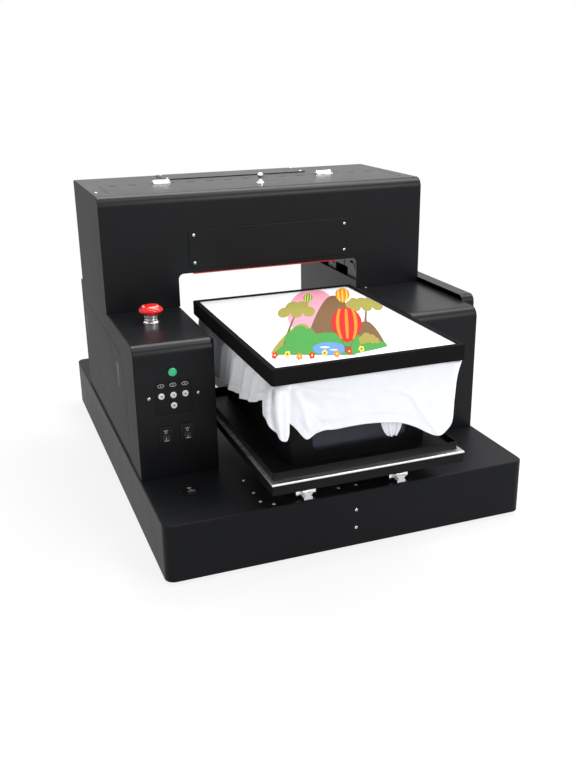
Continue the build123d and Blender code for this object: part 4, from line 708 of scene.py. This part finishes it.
def garment(made):
    """The shirt: smooth over the platen, tucked under the hoop, hanging in folds."""
    top_rows, hanging_rows, far_from_hem = 11, 52, 999.0
    edge = 0.004
    places = stations()
    around = len(places)
    grid, above_hem = hang(places, hanging_rows)
    base = [ring_point(place) for place in places]
    verts = []
    for share in [(row + 0.35) / (top_rows + 0.4) for row in range(top_rows)] + [1.0]:
        for point, out in base:
            inner = point - out * edge
            verts.append(Vector((inner.x * share, inner.y * share, CLOTH_TOP)))
    for turn in (25, 50, 70, 90):
        fall = edge * (1 - math.cos(math.radians(turn)))
        for point, out in base:
            inner = point - out * edge * (1 - math.sin(math.radians(turn)))
            verts.append(Vector((inner.x, inner.y, CLOTH_TOP - fall)))
    for fall in (0.009, 0.016):
        verts += [Vector((point.x, point.y, CLOTH_TOP - fall)) for point, out in base]
    hem = [far_from_hem] * len(verts)
    for points, heights in zip(grid, above_hem):
        verts += [Vector((x, y, HOOP_LOW.z + z)) for x, y, z in points]
        hem += list(heights)
    for vert in verts:
        vert.y += HOOP_MIDDLE.y
    faces = [list(range(around))]
    for r in range(len(verts) // around - 1):
        for i in range(around):
            j = (i + 1) % around
            a, b = r * around, (r + 1) * around
            faces.append([a + i, b + i, b + j, a + j])
    cloth = link_mesh("tshirt_cloth", verts, faces, None, made["cotton"], smooth=True)
    cloth.data.attributes.new("hem_mm", "FLOAT", "POINT").data.foreach_set("value", hem)
    return cloth


def thicken(piece, thickness):
    modifier = piece.modifiers.new("thickness", "SOLIDIFY")
    modifier.thickness = thickness
    modifier.offset = -1


def press(cloth):
    """Gives the cloth its thickness and its place on the platen."""
    thicken(cloth, 0.0009)
    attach(cloth, "platen")
    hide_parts("tshirt")


def cloth_tail(made):
    """The end of the layer behind, which hangs below the front hem, narrowing to its tip."""
    columns, rows = 22, 18
    centre, top, length, width, narrowing = 0.0405, 0.064, 0.049, 0.052, 0.024
    verts, faces = [], []
    for r in range(rows + 1):
        v = r / rows
        wide = width - narrowing * v - 0.010 * v ** 8
        for c in range(columns + 1):
            u = c / columns - 0.5
            x = centre + 0.002 * v + u * wide
            fold = 0.0022 * math.sin(u * 15 + 0.6) + 0.0016 * math.sin(u * 31 + 2.0)
            z = HOOP_LOW.z - top - length * v + 0.0015 * v * (2 * abs(u)) ** 3
            y = HOOP_MIDDLE.y - HALF_Y + 0.009 + fold * (0.3 + 0.7 * v) - 0.003 * v
            verts.append((x, y, z))
    for r in range(rows):
        for c in range(columns):
            a = r * (columns + 1) + c
            faces.append([a, a + 1, a + columns + 2, a + columns + 1])
    # Its darker copy of the jersey is painted shade.
    tail = link_mesh("tshirt_inner_tail", verts, faces, "platen", made["tail"], smooth=True)
    thicken(tail, 0.0008)


def hoop_edge_shade(made):
    """Thin grey strip on the garment just inside the hoop's lip: painted shade where the lip meets
    the cloth.
    """
    shapes = Shapes()
    lip, thick, width, rise = 0.009, 0.0005, 0.0014, CLOTH_TOP + 0.0001
    inner_x, inner_y = HOOP_HALF_X - lip, HOOP_HALF_Y - lip
    for side in (-1, 1):
        place = (0, HOOP_MIDDLE.y + side * (inner_y - width / 2), rise)
        shapes.add(place, *TOP, box_outline(2 * inner_x, width), thick)
        place = (side * (inner_x - width / 2), HOOP_MIDDLE.y, rise)
        shapes.add(place, *TOP, box_outline(width, 2 * inner_y), thick)
    shapes.build("hoop_edge_painted_shade", "clamp", made["edge_shade"])


def solids_of(node):
    """The lowest and highest corner of each separate solid of a node."""
    mesh = nodes[node].data
    keys = [tuple(round(c, 6) for c in vert.co) for vert in mesh.vertices]
    parent = {key: key for key in keys}

    def root(key):
        while parent[key] != key:
            parent[key] = parent[parent[key]]
            key = parent[key]
        return key

    for edge in mesh.edges:
        a, b = (root(keys[index]) for index in edge.vertices)
        parent[a] = b
    groups = {}
    for key in parent:
        groups.setdefault(root(key), []).append(key)
    found = []
    for points in groups.values():
        found.append([Vector([pick(axis) for axis in zip(*points)]) for pick in (min, max)])
    return sorted(found, key=lambda pair: tuple(pair[0]))


def screw_heads(made):
    """Domed screw heads, each turned a little from the others, with thin dark crosses as painted
    shade for their cross recesses.
    """
    dome = ((1, 0), (1, 0.35), (0.94, 0.6), (0.8, 0.82), (0.58, 0.95), (0.3, 1))
    shapes = Shapes()
    for low, high in solids_of("panel_screws"):
        size = high - low
        radius = max(size) / 2
        foot = (low + high) / 2
        if size.y < size.z:
            (across, upward), height = FRONT, size.y
            foot.y = high.y
        else:
            (across, upward), height = TOP, size.z
            foot.z = low.z
        axis = across.cross(upward)
        shapes.turn(foot, axis, [(radius * r, height * h) for r, h in dome], steps=24)
        spin = random.uniform(0, math.pi / 2)
        a = across * math.cos(spin) + upward * math.sin(spin)
        b = upward * math.cos(spin) - across * math.sin(spin)
        face = foot + axis * (height - 0.00002)
        # The cross recess is not cut: a thin dark cross on the dome is its painted shade.
        long, narrow = radius * 1.2, radius * 0.22
        shapes.add(face, a, b, box_outline(long, narrow), 0.0001, 1)
        shapes.add(face, a, b, box_outline(narrow, long), 0.00012, 1)
    heads = shapes.build("screw_heads", "base", [made["screw"], made["dark_mark_and_shade"]], sharp=40)
    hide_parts("panel_screws")


# The stop's domed head: its radius, foot above the tower and rise in millimetres, and its curve
STOP_RADIUS, DOME_FOOT, DOME_RISE, DOME_POWER = 21, 20.8, 10.4, 2.2


def stop_dome(radius):
    """Height of the stop's head above the tower at a distance from its axis, in millimetres."""
    share = min(1, radius / STOP_RADIUS)
    return DOME_FOOT + DOME_RISE * (1 - share ** DOME_POWER) ** (1 / DOME_POWER)


# Outlines of the round controls: radius and height above what carries each, in millimetres
STOP_HEAD = (
    (8, 1), (8, 18.2), (18.8, 18.2), (20.4, 18.8), (20.9, 19.8),
    *((r, stop_dome(r)) for r in (21, 20.9, 20.6, 20, 19, 17.6, 15.8, 13.6, 11, 8, 5, 2)),
)
STOP_COLLAR = (
    (10.6, -8), (10.6, 0), (15, 0), (15, 1.2), (13.6, 2.6), (13, 3.2), (13, 6.2), (12.5, 6.6),
    (12.5, 7.2), (13, 7.6), (13, 12.4), (12.5, 13), (8.6, 13), (8.6, 9),
)
LID_GRIP = (
    (7.5, 0), (7.5, 2.4), (7.1, 3), (4.2, 4.6), (3.2, 6), (3, 8), (3, 10.4), (3.6, 11.8),
    (4.9, 13), (5.25, 14), (5.25, 17.2), (4.8, 18.6), (3.9, 19.5), (2.6, 20),
)
LAMP_LENS = ((7.1, -8.5), (7.1, 2.0), (6.8, 2.7), (6.1, 3.15), (4.6, 3.35), (2.4, 3.5))
LAMP_RING = ((9, -0.2), (9, 0.6), (8.6, 1), (7.4, 1), (7.3, 0.4))
BUTTON_CAP = ((5.2, -6.4), (5.2, 0.9), (5.0, 1.3), (4.6, 1.52), (4.0, 1.6), (2, 1.5))
BUTTON_STAND = 0.0016


def turned(name, body, place, axis, outline, material):
    """A piece turned from its outline in millimetres."""
    shapes = Shapes()
    shapes.turn(place, axis, [(r / 1000, h / 1000) for r, h in outline])
    return shapes.build(name, body, material, sharp=38)


def turned_pieces(made):
    """The round controls, each in the place of its node of the frame."""
    stop, knob, lamp = middle("estop_head"), middle("lid_knob"), middle("power_button")
    stop.z = TOWER_TOP
    knob.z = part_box("lid_knob")[0].z
    lamp.y = TOWER_FRONT
    top, front = Vector((0, 0, 1)), Vector((0, -1, 0))
    pieces = [
        ("stop_mushroom", "estop_head", stop, top, STOP_HEAD, "estop_body", "red", "red_plastic"),
        ("stop_ring", "estop_collar", stop, top, STOP_COLLAR, "base", "chrome", "chrome"),
        ("lid_grip", "lid_knob", knob, top, LID_GRIP, "lid", "chrome", "chrome"),
        ("lamp_lens", "power_button", lamp, front, LAMP_LENS, "power_button_body", "green", None),
    ]
    for number in range(1, 5):
        node = "panel_button_%d" % number
        place = middle(node)
        place.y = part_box(node)[0].y + BUTTON_STAND
        pieces.append(("button_cap_%d" % number, node, place, front, BUTTON_CAP, node + "_body",
                       "white", "white_plastic"))
    for name, node, place, axis, outline, body, key, slot in pieces:
        piece = turned(name, body, place, axis, outline, made[key])
        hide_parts(node)
    turned("lamp_ring", "base", lamp, front, LAMP_RING, made["gloss"])


def control_marks(made):
    """Oval indicator rings and button signs on the left tower."""
    rings = Shapes()
    row = middle("panel_button_2")
    pitch = middle("panel_button_3").x - row.x
    centre = middle("power_button").x
    panel_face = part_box("control_panel")[0].y
    for step in (-1, 0, 1):
        place = (centre + pitch * step, panel_face - 0.00005, row.z + 0.0178)
        rings.ring(place, *FRONT, radii=(0.0048, 0.0026), width=0.0007, thick=0.0003)
        rings.add(place, *FRONT, disc_outline(0.0009, 14), 0.0002)
    rings.build("indicator_rings", "base", made["mark"])
    signs = (
        [(0.0016, -0.0018), (0.0016, 0.0018), (-0.0019, 0)],
        None,
        [(-0.0016, -0.0018), (0.0019, 0), (-0.0016, 0.0018)],
        box_outline(0.003, 0.003),
    )
    for number, outline in enumerate(signs, 1):
        node = "panel_button_%d" % number
        place = middle(node)
        place.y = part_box(node)[0].y - 0.00002
        sign = Shapes()
        if outline:
            sign.add(place, *FRONT, outline, 0.0001)
        else:
            sign.ring(place, *FRONT, radii=(0.0013, 0.0013), width=0.0006, thick=0.0001)
        piece = sign.build("button_sign_%d" % number, node + "_body", made["dark_mark_and_shade"])


def rocker_marks(made):
    """A ring on one half of each rocker and a bar on the other, and fine lines near its ends."""
    flat_height, slope = 0.002364, math.tan(math.radians(20))
    half_middle, slope_start, line_offset = 0.0048, 0.000417, 0.0034
    end_line = box_outline(0.0080, 0.0007)
    for name in ("tower_rocker_1", "tower_rocker_2", "base_rocker"):
        place = middle(name)
        if name == "base_rocker":
            place.z = BASE_TOP
            across, up = TOP
        else:
            place.y = TOWER_FRONT
            across, up = FRONT
        out = across.cross(up)
        marks = Shapes()
        flat = place + out * (flat_height + 0.00005) + up * 0.0056
        marks.ring(flat, across, up, radii=(0.0014, 0.0019), width=0.0006, thick=0.0001)
        marks.add(flat + up * line_offset, across, up, end_line, 0.0001)
        steep = (up - out * slope).normalized()
        rise = flat_height + slope * (slope_start + half_middle) + 0.00012
        centre = place + out * rise - up * half_middle
        marks.add(centre, across, steep, box_outline(0.0007, 0.0038), 0.0001)
        marks.add(centre - steep * line_offset, across, steep, end_line, 0.0001)
        marks.build(name + "_marks", name + "_body", made["mark"])


def stop_marks(made):
    """Three white turn arrows that follow the stop's dome, in millimetres and degrees."""
    inner, track, outer = 12.9, 13.6, 14.3
    sweep, bend_steps, tip_sweep, tip_half, tip_steps = 70, 14, 14, 2.0, 5
    stop = middle("estop_head")
    verts, faces = [], []

    def spot(radius, degrees, lift):
        turn = math.radians(degrees)
        x = stop.x + radius / 1000 * math.cos(turn)
        y = stop.y + radius / 1000 * math.sin(turn)
        verts.append((x, y, TOWER_TOP + (stop_dome(radius) + lift) / 1000))
        return len(verts) - 1

    def strip(rows):
        """A thin closed skin through rows of places on the dome."""
        count = len(rows[0])
        low = [[spot(r, d, -0.1) for r, d in row] for row in rows]
        high = [[spot(r, d, 0.12) for r, d in row] for row in rows]
        for i in range(len(rows) - 1):
            for k in range(count - 1):
                faces.append([high[i][k], high[i][k + 1], high[i + 1][k + 1], high[i + 1][k]])
                faces.append([low[i][k], low[i + 1][k], low[i + 1][k + 1], low[i][k + 1]])
            faces.append([low[i][0], high[i][0], high[i + 1][0], low[i + 1][0]])
            faces.append([low[i][-1], low[i + 1][-1], high[i + 1][-1], high[i][-1]])
        for row_low, row_high, turn in ((low[0], high[0], 1), (low[-1], high[-1], -1)):
            for k in range(count - 1):
                quad = [row_low[k], row_low[k + 1], row_high[k + 1], row_high[k]]
                faces.append(quad[::turn])

    for start in (10, 130, 250):
        turns = [start + sweep * i / bend_steps for i in range(bend_steps + 1)]
        strip([[(radius, turn) for radius in (inner, track, outer)] for turn in turns])
        rows = []
        for i in range(tip_steps + 1):
            half = tip_half * (1 - i / tip_steps) + 0.05
            turn = start + sweep + tip_sweep * i / tip_steps
            rows.append([(track + half * k, turn) for k in (-1, 0, 1)])
        strip(rows)
    arrows = link_mesh("stop_arrows", verts, faces, "estop_body", made["white"])


def red_strip(made):
    """The red strip along the top edge of the opening: its front face and its underside."""
    centre, length, thick = -0.009, 0.284, 0.0012
    face_height, underside_depth = 0.0018, 0.018
    shapes = Shapes()
    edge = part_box("front_cover_plate")[0].z
    place = (centre, HOOD_FRONT + 0.0006, edge - 0.0096)
    shapes.add(place, *FRONT, box_outline(length, face_height), thick)
    place = (centre, HOOD_FRONT + 0.010, edge - 0.01045)
    shapes.add(place, *TOP, box_outline(length, underside_depth), thick)
    shapes.build("red_edge_strip", "base", made["red_strip"])


def block_details(made):
    """Small dark screws on the ends of the four bearing blocks."""
    least_width, spread, height, radius = 0.03, 0.0125, 0.0185, 0.0019
    across, upward = FRONT
    shapes = Shapes()
    for low, high in solids_of("bearing_blocks"):
        if high.x - low.x < least_width:
            continue
        for y, out in ((low.y, -1), (high.y, 1)):
            for side in (-1, 1):
                x = (low.x + high.x) / 2 + side * spread
                origin = (x, y + out * 0.0001, BASE_TOP + height)
                shapes.add(origin, across * -out, upward, disc_outline(radius, 14), 0.0006)
    shapes.build("block_end_screws", "bed", made["dark_mark_and_shade"])


PRINT_INKS = {
    "pink": (0.74, 0.30, 0.38),
    "olive": (0.30, 0.27, 0.06),
    "brown": (0.17, 0.095, 0.042),
    "green": (0.065, 0.28, 0.06),
    "red": (0.56, 0.020, 0.018),
    "orange": (0.74, 0.22, 0.02),
    "yellow": (0.76, 0.56, 0.09),
    "blue": (0.12, 0.27, 0.52),
    "cream": (0.76, 0.72, 0.58),
}


def printed_design():
    """A landscape in flat inks, drawn long so that it reads upright from the front."""
    wide_unit, tall_unit, layer_step = 0.0017, 0.0062, 0.00004
    names = list(PRINT_INKS)
    inks = [knit("ink_" + name, PRINT_INKS[name], sheen=0.01) for name in names]
    design = Shapes()
    turn = math.radians(-23.4)
    along = Vector((math.cos(turn), math.sin(turn), 0)) * wide_unit
    upward = Vector((-math.sin(turn), math.cos(turn), 0)) * tall_unit

    def patch(ink, centre, outline, layer):
        """One flat shape about its centre; a higher layer lies over a lower one."""
        place = Vector((0.026, -0.268, CLOTH_TOP + 0.00003 + layer_step * layer))
        place += along * centre[0] + upward * centre[1]
        design.add(place, along, upward, outline, 0.00001, names.index(ink))

    def hill(ink, left, right, foot, height, layer, lean=0.0):
        points = [(left, foot), (right, foot)]
        for i in range(1, 24):
            t = 1 - i / 24
            rise = math.sin(t * math.pi) ** 0.8 + lean * math.sin(2 * t * math.pi)
            points.append((left + (right - left) * t, foot + height * max(rise, 0.0)))
        patch(ink, (0, 0), points, layer)

    def balloon(centre, radius, shade, band, layer):
        """A striped bag with a basket on two cords."""
        bag = []
        for i in range(36):
            angle = 2 * math.pi * i / 36
            u, v = math.sin(angle), -math.cos(angle)
            if v < 0:
                u *= 1 - 0.35 * v * v
                v *= 1.25
            bag.append((radius * u, radius * v))
        patch(shade, centre, bag, layer)
        for offset in (-0.6, 0.0, 0.6):
            right, left = [], []
            for i in range(25):
                v = -1.05 + 1.95 * i / 24
                half = 0.11 * math.sqrt(max(0.0, 1 - (v / 1.25) ** 2))
                stripe = offset * math.sqrt(max(0.0, 1 - (v / 1.3) ** 2))
                right.append((radius * (stripe + half), radius * v))
                left.append((radius * (stripe - half), radius * v))
            patch(band, centre, right + left[::-1], layer + 1)
        basket = [(radius * u, radius * (v - 1.62)) for u, v in box_outline(0.42, 0.32)]
        patch("brown", centre, basket, layer)
        for side in (-1, 1):
            cord = [(0.17, -1.46), (0.21, -1.46), (0.36, -1.12), (0.32, -1.12)][::side]
            cord = [(radius * (side * u), radius * v) for u, v in cord]
            patch("brown", centre, cord, layer)

    def tufts(ink, centre, size, places, squash, layers):
        """Round tufts of leaves, each with its place and radius in shares of the whole."""
        for (x, y, radius), layer in zip(places, layers):
            disc = disc_outline(radius, 24, squash)
            patch(ink, centre, [(size * (x + u), size * (y + v)) for u, v in disc], layer)

    def tree(x, y, tall, lean, size, ink, layer):
        """A leaning trunk under a crown of round tufts."""
        shares = [i / 8 for i in range(9)]
        trunk = [(lean * v * v + 1.9 - 0.9 * v, tall * v) for v in shares]
        trunk += [(u - 3.2 + 1.8 * v / tall, v) for u, v in reversed(trunk)]
        patch("brown", (x, y), trunk, layer)
        crown = ((-1.25, -0.1, 0.62), (-0.5, 0.45, 0.72), (0.4, 0.5, 0.7), (1.2, 0, 0.6),
                 (0, -0.1, 0.6))
        layers = [layer + 1 + 0.5 * k for k in range(len(crown))]
        tufts(ink, (x + lean, y + tall), size, crown, 0.85, layers)

    def bush(x, y, size, ink, layer):
        clump = ((-0.9, 0, 0.5), (-0.3, 0.3, 0.66), (0.4, 0.16, 0.58), (0.95, -0.04, 0.4))
        tufts(ink, (x, y), size, clump, 1.0, [layer + k % 2 for k in range(len(clump))])

    patch("pink", (-19, 10), disc_outline(25, 56), 0)
    hill("brown", -20, 34, -16, 42, 1, 0.08)
    hill("olive", -52, -8, -31, 26, 3, -0.1)
    hill("brown", 12, 52, -25, 22, 3, -0.15)
    tree(-41, -28, 36, 7, 10.5, "olive", 5)
    tree(35, -12, 26, 4, 9.5, "olive", 5)
    bush(28, 16, 8, "olive", 3)
    hill("green", -50, 24, -32, 14, 8, 0.25)
    meadow = [(-50, -32), (24, -31), (44, -27), (53, -25), (52, -22), (40, -18), (20, -14),
              (-5, -13), (-30, -18)]
    patch("green", (0, 0), meadow, 7)
    bush(-25, -18, 12, "green", 9)
    patch("blue", (0, -27), disc_outline(15, 40, 0.36), 10)
    patch("cream", (-4, -26), disc_outline(4.5, 20, 0.16), 11)
    patch("cream", (4, -28), disc_outline(3.5, 20, 0.16), 11)
    balloon((17, -3), 15, "red", "orange", 12)
    balloon((14, 28), 8, "orange", "yellow", 3)
    balloon((-24, 24), 5, "green", "yellow", 3)
    bush(37, -20, 7, "olive", 12)
    for index in range(8):
        x = -48 + 11 * index
        y = -32.5 + 0.10 * max(0, x + 14) + math.sin(index * 2.1)
        shade = ("red", "yellow", "orange")[index % 3]
        for k in range(5):
            angle = 2 * math.pi * k / 5 + index
            place = (x + 1.7 * math.cos(angle), y + 1.7 * math.sin(angle))
            patch(shade, place, disc_outline(1.1, 12), 13 + k % 2)
        patch("yellow" if shade != "yellow" else "brown", (x, y), disc_outline(0.9, 12), 15)
    design.build("printed_design", "platen", inks)


def light(name, place, target, energy, size, size_y=None, colour=(1, 1, 1)):
    """A soft lamp turned to its target: its power in watts, its sides in metres."""
    data = bpy.data.lights.new(name, "AREA")
    data.energy = energy
    data.color = colour
    data.shape = "RECTANGLE"
    data.size = size
    data.size_y = size_y or size
    made = new_object(name, data)
    made.location = place
    made.rotation_mode = "QUATERNION"
    made.rotation_quaternion = (Vector(target) - Vector(place)).to_track_quat("-Z", "Y")


def white_world():
    """White to the camera, reflections and glass; a weaker, cool fill for everything else."""
    world = bpy.data.worlds.new("studio")
    bpy.context.scene.world = world
    world.use_nodes = True
    world.node_tree.nodes.clear()
    tree = Nodes(world.node_tree)
    seen = tree.node("ShaderNodeBackground", {"Color": (1, 1, 1, 1)})
    fill = tree.node("ShaderNodeBackground", {"Color": (0.92, 0.95, 1, 1), "Strength": 0.28})
    output = tree.node("ShaderNodeOutputWorld")
    tree.show(output, tree.sight(), fill.outputs[0], seen.outputs[0])


def studio():
    """Pale floor, white background and plain soft lamps."""
    verts = [(x, y, 0) for x, y in box_outline(18, 18)]
    link_mesh("floor", verts, [[0, 1, 2, 3]], None, pale_floor())
    white_world()
    light("key", (1.2, -2.9, 1.9), (0, -0.25, 0.3), 54, 1.5)
    light("front_strip", (0.1, -0.9, 2.6), (0, -0.2, 0.3), 22, 2.4, 0.3)
    light("overhead", (0.6, 0.55, 2.3), (0, -0.1, 0.3), 66, 2.4, 1.0)
    light("left", (-2.5, -0.5, 1.5), (-0.1, -0.2, 0.3), 7.5, 1.4, 1.2, (1, 0.9, 0.8))
    light("right", (2.4, -0.6, 1.5), (0.1, -0.2, 0.3), 12, 1.4)
    bpy.context.scene.view_settings.view_transform = "Standard"


make_camera()
made = materials()
dress_nodes(made)
press(garment(made))
cloth_tail(made)
hoop_edge_shade(made)
printed_design()
turned_pieces(made)
control_marks(made)
rocker_marks(made)
stop_marks(made)
red_strip(made)
screw_heads(made)
block_details(made)
studio()
